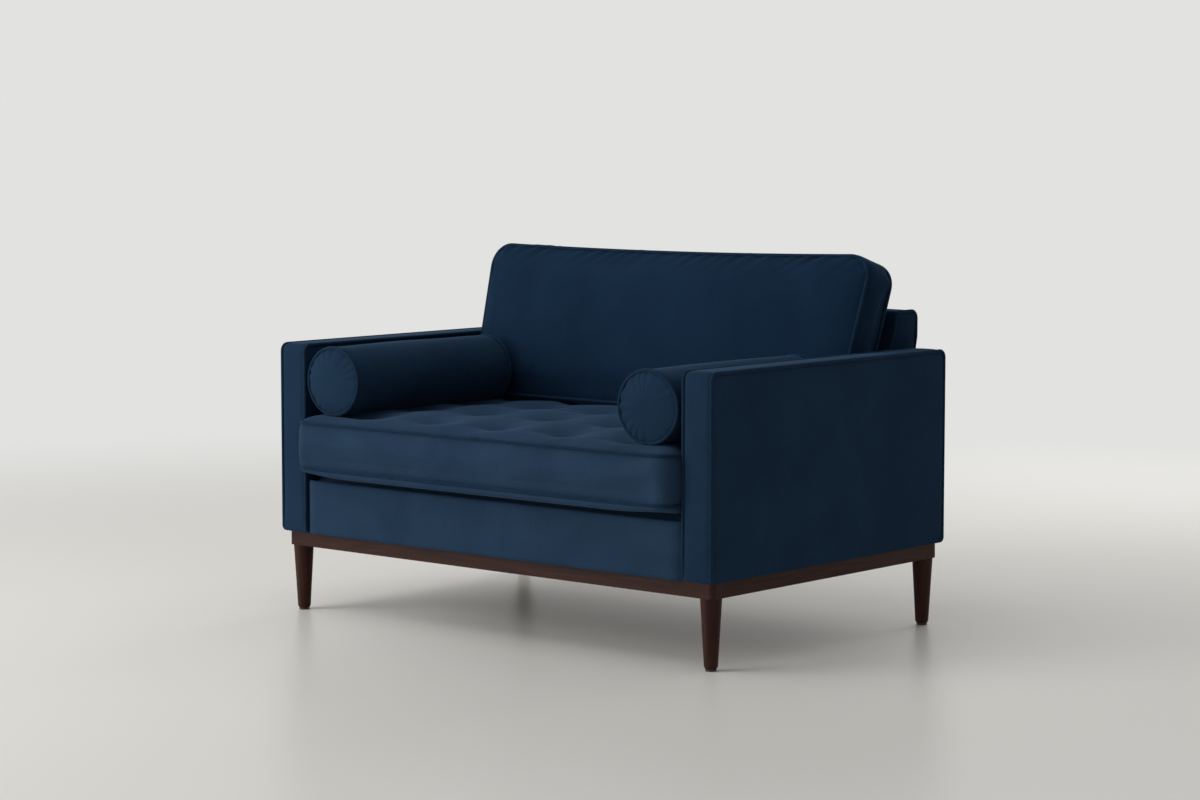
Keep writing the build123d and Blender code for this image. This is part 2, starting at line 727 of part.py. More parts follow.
def build_bolsters():
    """Round bolsters that lie on the seat cushion along the arms."""
    rim_r = bolster_d / 2 - piping_proud
    axis_x = arm_inner - bolster_arm_gap - bolster_d / 2
    middle_y = arm_front + bolster_set_back + bolster_l / 2
    flat_r = rim_r - bolster_flat

    def lift(x, y):
        """Height of the axis that just clears the seat below one point of the bolster."""
        end = abs(y - middle_y) > bolster_l / 2 - 2 * piping_r
        radius = bolster_d / 2 if end else rim_r + bolster_barrel
        drop = (radius ** 2 - (x - axis_x) ** 2) ** 0.5
        return seat_top(x, y) + (drop if end else min(drop, flat_r))

    xs = [axis_x + i * rim_r / 20 for i in range(-14, 15)]
    ys = [middle_y + i * bolster_l / 40 for i in range(-20, 21)]
    axis_z = fit + max(lift(x, y) for x in xs for y in ys)

    def body(side, end):
        """A stuffed roll, taken in round its side and at its ends."""
        r = rim_r - side
        h = bolster_l / 2 - end
        tip = h + bolster_dome
        dome_r = (r ** 2 + bolster_dome ** 2) / (2 * bolster_dome)
        turn = asin(r / dome_r) / 2
        way_r = dome_r * sin(turn)
        way_y = tip - dome_r * (1 - cos(turn))
        half_section = make_face([
            ThreePointArc((0, -tip), (way_r, -way_y), (r, -h)),
            ThreePointArc((r, -h), (r + bolster_barrel, 0), (r, h)),
            ThreePointArc((r, h), (way_r, way_y), (0, tip)),
            Line((0, tip), (0, -tip)),
        ])
        return place * revolve(half_section, Axis.Y)

    def rings(radius):
        """Piping round both ends."""
        ends = []
        for sign in (-1, 1):
            y = sign * (bolster_l / 2 - piping_sink)
            cord = Pos(rim_r - piping_sink, y) * Circle(radius)
            ends.append(place * revolve(cord, Axis.Y))
        return ends

    place = Pos(axis_x, middle_y, axis_z)
    below = block(axis_x - rim_r, axis_x + rim_r, middle_y - bolster_l, middle_y + bolster_l,
                  seat_z0, axis_z - flat_r)
    cover = body(0, 0) - body(seam_wall, cover_t) - rings(piping_r + piping_gap) - below
    save_pair("bolster_cover", cover)
    save_pair("bolster_core", body(seam_wall + fit, cover_t + fit))
    save_pair("bolster_piping", group(rings(piping_r)))


leg_places = {
    f"{end}_{side}": (sx * (base_x - leg_inset), y)
    for end, y in (("front", base_y0 + leg_inset), ("rear", base_y1 - leg_inset))
    for side, sx in (("left", -1), ("right", 1))
}
insert_holes = [rod((x, y, leg_height), (0, 0, 1), stud_r + insert_wall + 2 * thread_gap,
                    stud_in_base + fit) for x, y in leg_places.values()]

screw_front = rail_y0 + rail_t / 2
screw_rear = post_y0 - screw_head_r - fit
screw_arm = (arm_x0 + arm_x1) / 2
screw_places = [(x, y) for x in spread(3, screw_pitch_x) for y in (screw_front, screw_rear)]
screw_places += [(sx * screw_arm, y) for sx in (-1, 1) for y in spread(3, screw_pitch_y)]
screw_holes = [rod((x, y, leg_height), (0, 0, 1), screw_r + thread_gap,
                   base_height + screw_bite + fit) for x, y in screw_places]

bolt_start = arm_x0 - rail_t
bolt_length = rail_t + seam_wall + arm_side_pad + arm_panel_t + 2 * fit + arm_bolt_bite
bolt_places = [(bolt_start, y, body_bottom + arm_bolt_rise) for y in spread(3, arm_bolt_pitch)]
bolt_holes = [rod(origin, (1, 0, 0), arm_bolt_r + thread_gap, bolt_length + fit)
              for origin in bolt_places]

tuft_places = [(x, seat_mid + y) for x in spread(tuft_columns, tuft_pitch_x)
               for y in spread(tuft_rows, tuft_pitch_y)]

build_base()
build_legs()
build_seat_frame()
build_deck()
build_arms()
build_back_rest()
build_seat_cushion()
build_back_cushion()
build_bolsters()
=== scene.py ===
"""Looks of a compact two-person velvet sofa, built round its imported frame.

Sizes are in metres. The front faces -Y, +Z is up, and every piece sits in the frame's own place.
"""
import json
import logging
import math
from collections.abc import Callable
from dataclasses import dataclass
from enum import Enum

import bmesh
import bpy
import numpy as np
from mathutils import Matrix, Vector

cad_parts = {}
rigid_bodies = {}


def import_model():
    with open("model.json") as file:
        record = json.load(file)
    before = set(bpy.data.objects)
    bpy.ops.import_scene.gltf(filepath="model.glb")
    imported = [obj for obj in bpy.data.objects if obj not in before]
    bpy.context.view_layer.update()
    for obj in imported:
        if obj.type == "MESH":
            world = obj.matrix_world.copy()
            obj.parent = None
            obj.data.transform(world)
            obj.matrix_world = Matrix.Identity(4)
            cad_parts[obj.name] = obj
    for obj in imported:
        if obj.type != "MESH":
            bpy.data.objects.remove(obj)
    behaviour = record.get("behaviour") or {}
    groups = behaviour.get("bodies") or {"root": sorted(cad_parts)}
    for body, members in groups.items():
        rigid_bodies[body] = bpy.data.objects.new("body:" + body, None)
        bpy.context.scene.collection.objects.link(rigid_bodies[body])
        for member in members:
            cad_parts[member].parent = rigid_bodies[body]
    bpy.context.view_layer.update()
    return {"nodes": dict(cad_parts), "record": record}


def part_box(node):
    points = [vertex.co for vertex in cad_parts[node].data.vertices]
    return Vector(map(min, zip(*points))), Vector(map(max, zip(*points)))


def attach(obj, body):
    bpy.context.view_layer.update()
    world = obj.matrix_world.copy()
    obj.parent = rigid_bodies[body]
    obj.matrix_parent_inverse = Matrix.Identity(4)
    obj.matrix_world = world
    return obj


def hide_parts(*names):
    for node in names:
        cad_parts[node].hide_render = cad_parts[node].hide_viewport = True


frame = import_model()

MM = 0.001
SEED = 41
LOG = logging.getLogger("sofa")

Socket = bpy.types.NodeSocket
Tree = bpy.types.NodeTree
Piece = bpy.types.Object
Rule = Callable[[np.ndarray], np.ndarray]   # gives places or heights for rows of points
ROOM = 1.0 * MM                             # air between pieces that only lie side by side


class Side(Enum):
    """The two sides of the sofa, as seen from the front, with the sign of their X."""

    LEFT = -1
    RIGHT = 1

    @property
    def word(self) -> str:
        """The side's name as the frame's nodes spell it."""
        return self.name.lower()


class Grain(Enum):
    """The direction that a piece of wood's grain runs in."""

    ACROSS = 0
    DEEP = 1
    UP = 2


def linear(code: str) -> tuple[float, float, float, float]:
    """Turns an sRGB hex colour into linear light.

    Args:
        code: the colour, such as "#14283d".

    Returns:
        Red, green, blue and an alpha of 1.
    """
    parts = [int(code[i:i + 2], 16) / 255 for i in (1, 3, 5)]
    light = [c / 12.92 if c <= 0.04045 else ((c + 0.055) / 1.055) ** 2.4 for c in parts]
    return (*light, 1.0)


def add_node(tree: Tree, kind: str, inputs: dict | None = None,
             **settings: object) -> bpy.types.Node:
    """Adds one node with its settings, and sets or links its inputs.

    Args:
        tree: the node tree that the node goes into.
        kind: the node's type name.
        inputs: input names or numbers, each with a value or with the socket that feeds it.
        settings: properties of the node itself.

    Returns:
        The new node.
    """
    node = tree.nodes.new(kind)
    for name, value in settings.items():
        setattr(node, name, value)
    for name, value in (inputs or {}).items():
        if isinstance(value, Socket):
            tree.links.new(value, node.inputs[name])
        else:
            node.inputs[name].default_value = value
    return node


def per_metre(size: float) -> float:
    """The texture scale whose features are about this size."""
    return 1 / size


def blank_tree(owner: bpy.types.ID) -> Tree:
    """Empties the node tree of a material or a world.

    Args:
        owner: the material or world.

    Returns:
        Its tree, without nodes.
    """
    owner.use_nodes = True
    owner.node_tree.nodes.clear()
    return owner.node_tree


@dataclass(frozen=True)
class Finish:
    """A surface finish: makes its material once and hands it out."""

    name: str

    def material(self) -> bpy.types.Material:
        """The finish's material.

        Returns:
            The material, made at the first call.
        """
        found = bpy.data.materials.get(self.name)
        if found is not None:
            return found
        made = bpy.data.materials.new(self.name)
        tree = blank_tree(made)
        place = add_node(tree, "ShaderNodeTexCoord").outputs["Object"]
        add_node(tree, "ShaderNodeOutputMaterial", {"Surface": self.shader(tree, place)})
        return made

    def shader(self, tree: Tree, place: Socket) -> Socket:
        """Builds the finish's nodes.

        Args:
            tree: the material's node tree.
            place: the place on the surface, in metres.

        Returns:
            The shader socket.
        """
        raise NotImplementedError


def blended(tree: Tree, share: Socket, low: str, high: str,
            start: float = 0.35, end: float = 0.65) -> Socket:
    """A colour that runs from low to high as share goes from start to end.

    Args:
        tree: the material's node tree.
        share: the pattern that drives the change.
        low: hex colour at start.
        high: hex colour at end.
        start: share where the change begins.
        end: share where it is complete.

    Returns:
        The colour socket.
    """
    ramp = add_node(tree, "ShaderNodeValToRGB", {"Fac": share})
    ramp.color_ramp.elements[0].position = start
    ramp.color_ramp.elements[0].color = linear(low)
    ramp.color_ramp.elements[1].position = end
    ramp.color_ramp.elements[1].color = linear(high)
    return ramp.outputs["Color"]


def ranged(tree: Tree, share: Socket, low: float, high: float, start: float = 0.0,
           end: float = 1.0, **settings: object) -> Socket:
    """A number that runs from low to high as share goes from start to end."""
    return add_node(tree, "ShaderNodeMapRange", {
        "Value": share, "From Min": start, "From Max": end, "To Min": low, "To Max": high},
        **settings).outputs[0]


def noise(tree: Tree, place: Socket, size: float, **inputs: float) -> Socket:
    """Uneven noise between 0 and 1."""
    return add_node(tree, "ShaderNodeTexNoise", {
        "Vector": place, "Scale": per_metre(size), **inputs}).outputs["Fac"]


def maths(tree: Tree, operation: str, *values: Socket | float) -> Socket:
    """One sum on numbers or sockets."""
    return add_node(tree, "ShaderNodeMath", dict(enumerate(values)), operation=operation).outputs[0]


def bumped(tree: Tree, height: Socket, strength: float, relief: float) -> Socket:
    """The normals of a surface with fine relief."""
    return add_node(tree, "ShaderNodeBump", {
        "Height": height, "Strength": strength, "Distance": relief}).outputs[0]


def surface(tree: Tree, inputs: dict) -> Socket:
    """The shader socket of a surface with these inputs."""
    return add_node(tree, "ShaderNodeBsdfPrincipled", inputs).outputs[0]


@dataclass(frozen=True)
class Velvet(Finish):
    """Cut-pile velvet: short dense fibres stand up from the cloth.

    Face on, light sinks between the fibres and the cloth is deep blue; at a slant their sides
    catch it and give a soft pale bloom. Brushing lays them over in broad, faint, lighter patches.
    """

    deep: str = "#20344a"
    brushed: str = "#263b51"
    bloom: str = "#749cc6"
    bloom_weight: float = 0.16
    bloom_spread: float = 0.4
    patch_size: float = 150 * MM
    pile_size: float = 2.4 * MM      # real pile is about 0.3 mm; drawn coarse so that it shows
    pile_relief: float = 0.3 * MM

    def shader(self, tree: Tree, place: Socket) -> Socket:
        """Brushed patches for colour, pile for relief and sheen for the bloom."""
        patches = noise(tree, place, self.patch_size, Detail=3.0, Roughness=0.5, Distortion=0.4)
        pile = noise(tree, place, self.pile_size, Detail=2.0, Roughness=0.7)
        colour = blended(tree, patches, self.deep, self.brushed, 0.3, 0.7)
        fibres = ranged(tree, pile, 0.85, 1.15, 0.3, 0.7)
        shaded = add_node(tree, "ShaderNodeVectorMath", {
            0: colour, 1: fibres}, operation="MULTIPLY")
        return surface(tree, {
            "Base Color": shaded.outputs[0], "Normal": bumped(tree, pile, 0.4, self.pile_relief),
            "Roughness": 0.95, "Specular IOR Level": 0.08, "Sheen Weight": self.bloom_weight,
            "Sheen Roughness": self.bloom_spread, "Sheen Tint": linear(self.bloom)})


@dataclass(frozen=True)
class Wood(Finish):
    """Planed or turned wood: long dark pores and soft bands that follow the grain."""

    early: str = "#3b2019"
    late: str = "#25110c"
    grain: Grain = Grain.ACROSS
    gloss: float = 0.5
    lacquer: float = 0.0
    band_size: float = 9 * MM
    pore_size: float = 1.2 * MM
    relief: float = 0.3 * MM
    stretch: float = 22.0            # how much longer the marks are along the grain

    def shader(self, tree: Tree, place: Socket) -> Socket:
        """Bands and pores drawn out along the grain."""
        squeeze = [1.0, 1.0, 1.0]
        squeeze[self.grain.value] = 1 / self.stretch
        along = add_node(tree, "ShaderNodeMapping", {"Vector": place, "Scale": squeeze}).outputs[0]
        bands = noise(tree, along, self.band_size, Detail=4.0, Distortion=0.8)
        pores = noise(tree, along, self.pore_size, Detail=3.0, Roughness=0.75)
        pattern = maths(tree, "MULTIPLY_ADD", pores, 0.3, maths(tree, "MULTIPLY", bands, 0.7))
        colour = blended(tree, pattern, self.late, self.early, 0.36, 0.64)
        rough = ranged(tree, pores, self.gloss + 0.12, self.gloss - 0.08)
        return surface(tree, {
            "Base Color": colour, "Roughness": rough,
            "Normal": bumped(tree, pattern, 0.35, self.relief), "Specular IOR Level": 0.12,
            "Coat Weight": self.lacquer, "Coat Roughness": 0.3})


@dataclass(frozen=True)
class Woven(Finish):
    """Plain woven or needled cloth: two sets of threads cross over and under."""

    WAVE_FACTOR = 20                 # the wave texture's own factor on its scale

    warp: str = "#10161f"
    weft: str = "#1a222e"
    thread: float = 2.0 * MM         # real thread is finer; drawn coarse so that it shows
    relief: float = 0.3 * MM

    def shader(self, tree: Tree, place: Socket) -> Socket:
        """Two crossed bands for the threads, with a little unevenness."""
        threads = [add_node(tree, "ShaderNodeTexWave", {
            "Vector": place, "Scale": per_metre(self.thread) / self.WAVE_FACTOR,
            "Distortion": 0.6, "Detail": 1.0}, bands_direction=way).outputs["Fac"]
            for way in ("X", "Y")]
        cross = maths(tree, "MULTIPLY", *threads)
        colour = blended(tree, cross, self.warp, self.weft, 0.1, 0.8)
        return surface(tree, {
            "Base Color": colour, "Normal": bumped(tree, cross, 0.6, self.relief),
            "Roughness": 0.9, "Specular IOR Level": 0.2, "Sheen Weight": 0.1})


@dataclass(frozen=True)
class Cellular(Finish):
    """Foam, felt or fibre board: an even body with fine open specks."""

    body: str = "#e2dabb"
    speck: str = "#c3b88f"
    grit: float = 3.0 * MM           # real cells are finer; drawn coarse so that they show
    relief: float = 0.4 * MM
    rough: float = 0.95

    def shader(self, tree: Tree, place: Socket) -> Socket:
        """Cells for both colour and relief."""
        cells = add_node(tree, "ShaderNodeTexVoronoi", {
            "Vector": place, "Scale": per_metre(self.grit)}).outputs["Distance"]
        colour = blended(tree, cells, self.speck, self.body, 0.1, 0.6)
        return surface(tree, {
            "Base Color": colour, "Normal": bumped(tree, cells, 0.5, self.relief),
            "Roughness": self.rough, "Specular IOR Level": 0.2})


@dataclass(frozen=True)
class Drawn(Finish):
    """Drawn, moulded or enamelled small hardware: fine streaks in an even skin."""

    skin: str = "#8d8f92"
    streak: str = "#73767a"
    metal: float = 1.0
    rough: float = 0.35
    wear: float = 0.08               # how far the roughness varies
    streak_size: float = 1.5 * MM

    def shader(self, tree: Tree, place: Socket) -> Socket:
        """Streaks for colour and a slight change of gloss."""
        marks = noise(tree, place, self.streak_size, Detail=3.0)
        return surface(tree, {
            "Base Color": blended(tree, marks, self.streak, self.skin),
            "Roughness": ranged(tree, marks, self.rough - self.wear, self.rough + self.wear),
            "Metallic": self.metal})


VELVET = Velvet("navy cut-pile velvet")
# Painted shade: a darker copy of the same velvet for the arms and bolsters. It stands for the shade
# on their sides and for the light lost where the nap lies aside.
VELVET_ASIDE_PAINTED_SHADE = Velvet("navy velvet with its nap aside", deep="#162b40", brushed="#1c3247")
# Painted shade: a darker copy of the same velvet for the back rest and back cushion. It stands for
# the shade low down and for the light lost where the nap lies down.
VELVET_DOWN_PAINTED_SHADE = Velvet("navy velvet with its nap down", deep="#0f2439", brushed="#13293f",
                     bloom_weight=0.12)
# Painted shade: the piping's velvet is darker than the cloth beside it. It stands for the shade in
# the grooves along the cord.
PIPING_VELVET_PAINTED_SHADE = Velvet("navy velvet over piping cord", deep="#13273b", brushed="#192e43",
                       patch_size=30 * MM, pile_size=1.6 * MM)
STAINED_X, STAINED_Y, STAINED_Z = (
    Wood(f"walnut-stained beech {way}", grain=grain, lacquer=0.02)
    for way, grain in (("across", Grain.ACROSS), ("front to rear", Grain.DEEP),
                       ("turned", Grain.UP)))
TIMBER = Wood("planed pine", early="#d2ad7c", late="#b58a57", gloss=0.6)
HARDBOARD = Cellular("pressed fibre board", body="#8a6244", speck="#6e4a31", grit=1.5 * MM,
                     rough=0.7)
FOAM = Cellular("cut polyurethane foam")
FELT = Cellular("needled grey felt", body="#6f7074", speck="#54555a", grit=2.0 * MM)
DECK_CLOTH = Woven("navy platform cloth", warp="#0f1a27", weft="#1a2a3c")
DUST_CLOTH = Woven("black dust cloth", warp="#0d0d0e", weft="#191a1b", thread=1.6 * MM)
WEBBING = Woven("elastic webbing", warp="#6d5f48", weft="#8c7c60", thread=3.0 * MM)
TWINE = Woven("waxed upholstery twine", warp="#141d2a", weft="#233044", thread=1.0 * MM)
STEEL = Drawn("bright drawn steel")
GLIDE = Drawn("moulded dark polyethylene", skin="#231b18", streak="#1c1513", metal=0.0,
              rough=0.55)
ZIP_TAPE = Woven("navy zip tape", warp="#13202f", weft="#1c2c40", thread=1.2 * MM)
ZIP_COIL = Drawn("navy nylon coil", skin="#1b2a40", streak="#142033", metal=0.0, rough=0.45)
ZIP_ENAMEL = Drawn("enamelled zinc slider", skin="#2a3444", streak="#202938", metal=0.6)

SLOT_FINISHES: dict[str, Finish] = {
    "velvet": VELVET, "velvet_piping": PIPING_VELVET_PAINTED_SHADE, "stained_wood": STAINED_X, "timber": TIMBER,
    "hardboard": HARDBOARD, "foam": FOAM, "felt": FELT, "deck_cloth": DECK_CLOTH,
    "dust_cloth": DUST_CLOTH, "webbing": WEBBING, "thread": TWINE, "steel": STEEL,
    "glide_plastic": GLIDE, "zip_chain": ZIP_COIL, "zip_slider": ZIP_ENAMEL,
}


def link(name: str, data: bpy.types.ID) -> Piece:
    """Makes an object of a mesh, lamp or camera.

    Args:
        name: the object's name.
        data: what it shows.

    Returns:
        The object, linked to the scene.
    """
    obj = bpy.data.objects.new(name, data)
    bpy.context.scene.collection.objects.link(obj)
    return obj


def new_piece(name: str, points: np.ndarray, faces: list, finish: Finish | None = None,
              closed: bool = False) -> Piece:
    """Makes a mesh object in the row frame, shaded smooth.

    Args:
        name: the piece's name.
        points: its vertices, one row each.
        faces: vertex numbers of each face.
        finish: what it is made of, if that is known yet.
        closed: whether the faces close round a body and are turned to look outwards.

    Returns:
        The new object, linked to the scene.
    """
    mesh = bpy.data.meshes.new(name)
    mesh.from_pydata(points.tolist(), [], faces)
    if closed:
        work = bmesh.new()
        work.from_mesh(mesh)
        bmesh.ops.recalc_face_normals(work, faces=work.faces)
        work.to_mesh(mesh)
        work.free()
    mesh.polygons.foreach_set("use_smooth", [True] * len(mesh.polygons))
    if finish is not None:
        mesh.materials.append(finish.material())
    mesh.update()
    return link(name, mesh)


def points_of(mesh: bpy.types.Mesh) -> np.ndarray:
    """The places of a mesh's vertices, one row each."""
    return np.array([vertex.co for vertex in mesh.vertices])


def set_points(obj: Piece, points: np.ndarray) -> None:
    """Moves a piece's vertices to new places."""
    obj.data.vertices.foreach_set("co", points.astype(np.float32).ravel())
    obj.data.update()


def settle(obj: Piece) -> Piece:
    """Turns a piece with modifiers into the plain mesh that they give.

    Args:
        obj: the piece.

    Returns:
        The same object, without modifiers.
    """
    graph = bpy.context.evaluated_depsgraph_get()
    mesh = bpy.data.meshes.new_from_object(obj.evaluated_get(graph), depsgraph=graph)
    obj.modifiers.clear()
    old, obj.data = obj.data, mesh
    bpy.data.meshes.remove(old)
    obj.data.name = obj.name
    return obj


def finer(obj: Piece) -> None:
    """Gives a soft piece one level of subdivision.

    Args:
        obj: the piece.
    """
    round_off = obj.modifiers.new("rounding", "SUBSURF")
    round_off.levels = 1
    round_off.render_levels = 1


def hand_over(obj: Piece, body: str, slot: str, *nodes: str) -> None:
    """Puts a finished piece on its body, in place of the frame's nodes.

    Args:
        obj: the piece.
        body: the body that it moves with.
        slot: the record's material slot; not used.
        nodes: the nodes that it stands for.
    """
    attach(obj, body)
    if nodes:
        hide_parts(*nodes)
    LOG.info("%s rides on %s in place of %s", obj.name, body, ", ".join(nodes) or "nothing")


def upholster(cover: Piece, body: str, fill: float, *nodes: str) -> None:
    """Hands over a padded velvet cover."""
    hand_over(cover, body, "velvet", *nodes)


def node_box(node: str) -> tuple[np.ndarray, np.ndarray]:
    """Low and high corner of a node in the row frame."""
    low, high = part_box(node)
    return np.array(low), np.array(high)


def between_arms(x: np.ndarray) -> np.ndarray:
    """Keeps places across the sofa clear of the arms."""
    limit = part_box("right_arm_cover")[0][0] - ROOM
    return np.clip(x, -limit, limit)


def at_level(path: np.ndarray, level: float) -> np.ndarray:
    """Local places of a flat path at one level."""
    return np.column_stack([path, np.full(len(path), level)])


def across_at(x: float, profile: np.ndarray) -> np.ndarray:
    """A side-view profile at one place across the sofa."""
    return np.column_stack([np.full(len(profile), x), profile])


def bell(distance: np.ndarray | float, reach: float) -> np.ndarray:
    """A share that is 1 at no distance and dies out within about twice the reach."""
    return np.exp(-(distance / reach) ** 2)


def corner_arc(before: np.ndarray, corner: np.ndarray, after: np.ndarray, radius: float,
               step: float) -> list[np.ndarray]:
    """Points round one corner of a path.

    Args:
        before: the path's last corner.
        corner: the corner that is rounded.
        after: the path's next corner.
        radius: the rounding, 0 for a sharp corner.
        step: distance between points.

    Returns:
        The points in order.
    """
    if radius <= 0:
        return [corner]
    to_a = (before - corner) / np.linalg.norm(before - corner)
    to_b = (after - corner) / np.linalg.norm(after - corner)
    half = math.acos(float(np.clip(to_a @ to_b, -1, 1))) / 2
    middle = (to_a + to_b) / np.linalg.norm(to_a + to_b)
    centre = corner + middle * radius / math.sin(half)
    start = corner + to_a * radius / math.tan(half) - centre
    sweep = math.pi - 2 * half
    sign = 1.0 if to_a[0] * to_b[1] - to_a[1] * to_b[0] < 0 else -1.0
    count = max(3, math.ceil(radius * sweep / step))
    points = []
    for i in range(count + 1):
        angle = sign * sweep * i / count
        c, s = math.cos(angle), math.sin(angle)
        points.append(centre + np.array([c * start[0] - s * start[1], s * start[0] + c * start[1]]))
    return points


def rounded_path(corners: list, radii: list, step: float, closed: bool = True) -> np.ndarray:
    """An evenly stepped flat path with rounded corners.

    Args:
        corners: the path's corners.
        radii: the rounding of each corner.
        step: distance between points on the straight runs.
        closed: whether the path returns to its start.

    Returns:
        The points, without a repeat of the first.
    """
    corners = [np.array(corner, float) for corner in corners]
    count = len(corners)
    marks: list[np.ndarray] = []
    for i, corner in enumerate(corners):
        inner = closed or 0 < i < count - 1
        radius = radii[i] if inner else 0
        marks += corner_arc(corners[i - 1], corner, corners[(i + 1) % count], radius, step)
    if closed:
        marks.append(marks[0])
    path = [marks[0]]
    for a, b in zip(marks, marks[1:]):
        runs = max(1, round(float(np.linalg.norm(b - a)) / step))
        path += [a + (b - a) * k / runs for k in range(1, runs + 1)]
    return np.array(path[:-1] if closed else path)


def fullness(q: np.ndarray) -> np.ndarray:
    """Height of a stuffed crown: 1 in the middle, 0 at the seams, with a round shoulder.

    Args:
        q: share of the way from the middle to the seam, from -1 to 1.

    Returns:
        The height's share.
    """
    q = np.clip(np.abs(q), 0, 1)
    shoulder, drop, bulge = 0.7, 0.24, 0.47
    s = (q - shoulder) / (1 - shoulder)
    flat = 1 - drop * (q / shoulder) ** 2
    return np.where(q <= shoulder, flat, (1 - drop) * (1 - s) * (1 + bulge * s))


def ripple(along: np.ndarray, length: float, wave: float, seed: int) -> np.ndarray:
    """Uneven ripples round a closed seam, between about -1 and 1.

    Args:
        along: distance along the seam.
        length: the seam's whole length.
        wave: usual distance between ripples.
        seed: fixes the pattern.

    Returns:
        The ripple at each place.
    """
    rng = np.random.default_rng(seed)
    turn = 2 * math.pi
    spread = 0.35                    # share by which the waves' lengths differ
    middle = max(2, round(length / wave))
    total = np.zeros_like(along)
    for k in range(max(1, middle // 2), middle + middle // 2 + 1):
        share = math.exp(-((k - middle) / (spread * middle)) ** 2)
        size, phase = rng.normal(), rng.uniform(0, turn)
        total += share * size * np.sin(turn * k * along / length + phase)
    return total / max(1e-9, float(np.abs(total).max()))


def drift(points: np.ndarray, size: float, seed: int) -> np.ndarray:
    """Broad uneven swells through space, about -1 to 1, as hand-laid padding has.

    Args:
        points: places in the row frame.
        size: usual distance between swells.
        seed: fixes the pattern.

    Returns:
        The swell at each place.
    """
    waves, level = 7, 4              # level brings the sum of the waves to about 1
    rng = np.random.default_rng(seed)
    total = np.zeros(len(points))
    for _ in range(waves):
        way = rng.normal(size=3)
        way *= rng.uniform(0.6, 1.4) * 2 * math.pi / (size * np.linalg.norm(way))
        total += np.sin(points @ way + rng.uniform(0, 2 * math.pi))
    return total / level


def grid_lines(start: float, end: float, pitch: float,
               kept: tuple[float, ...] = ()) -> np.ndarray:
    """Grid lines from seam to seam: closer beside both seams, about a pitch apart elsewhere.

    Args:
        start: the first seam.
        end: the last seam.
        pitch: usual distance between lines.
        kept: places that get a line of their own.

    Returns:
        The lines in order.
    """
    beside = (0.0, 2.0 * MM, 4.5 * MM, 10.5 * MM)
    fixed = sorted([start + d for d in beside] + [end - d for d in beside] + list(kept))
    lines: list[float] = []
    for a, b in zip(fixed, fixed[1:]):
        runs = max(1, round((b - a) / pitch))
        lines += [a + (b - a) * k / runs for k in range(runs)]
    return np.array(lines + [end])


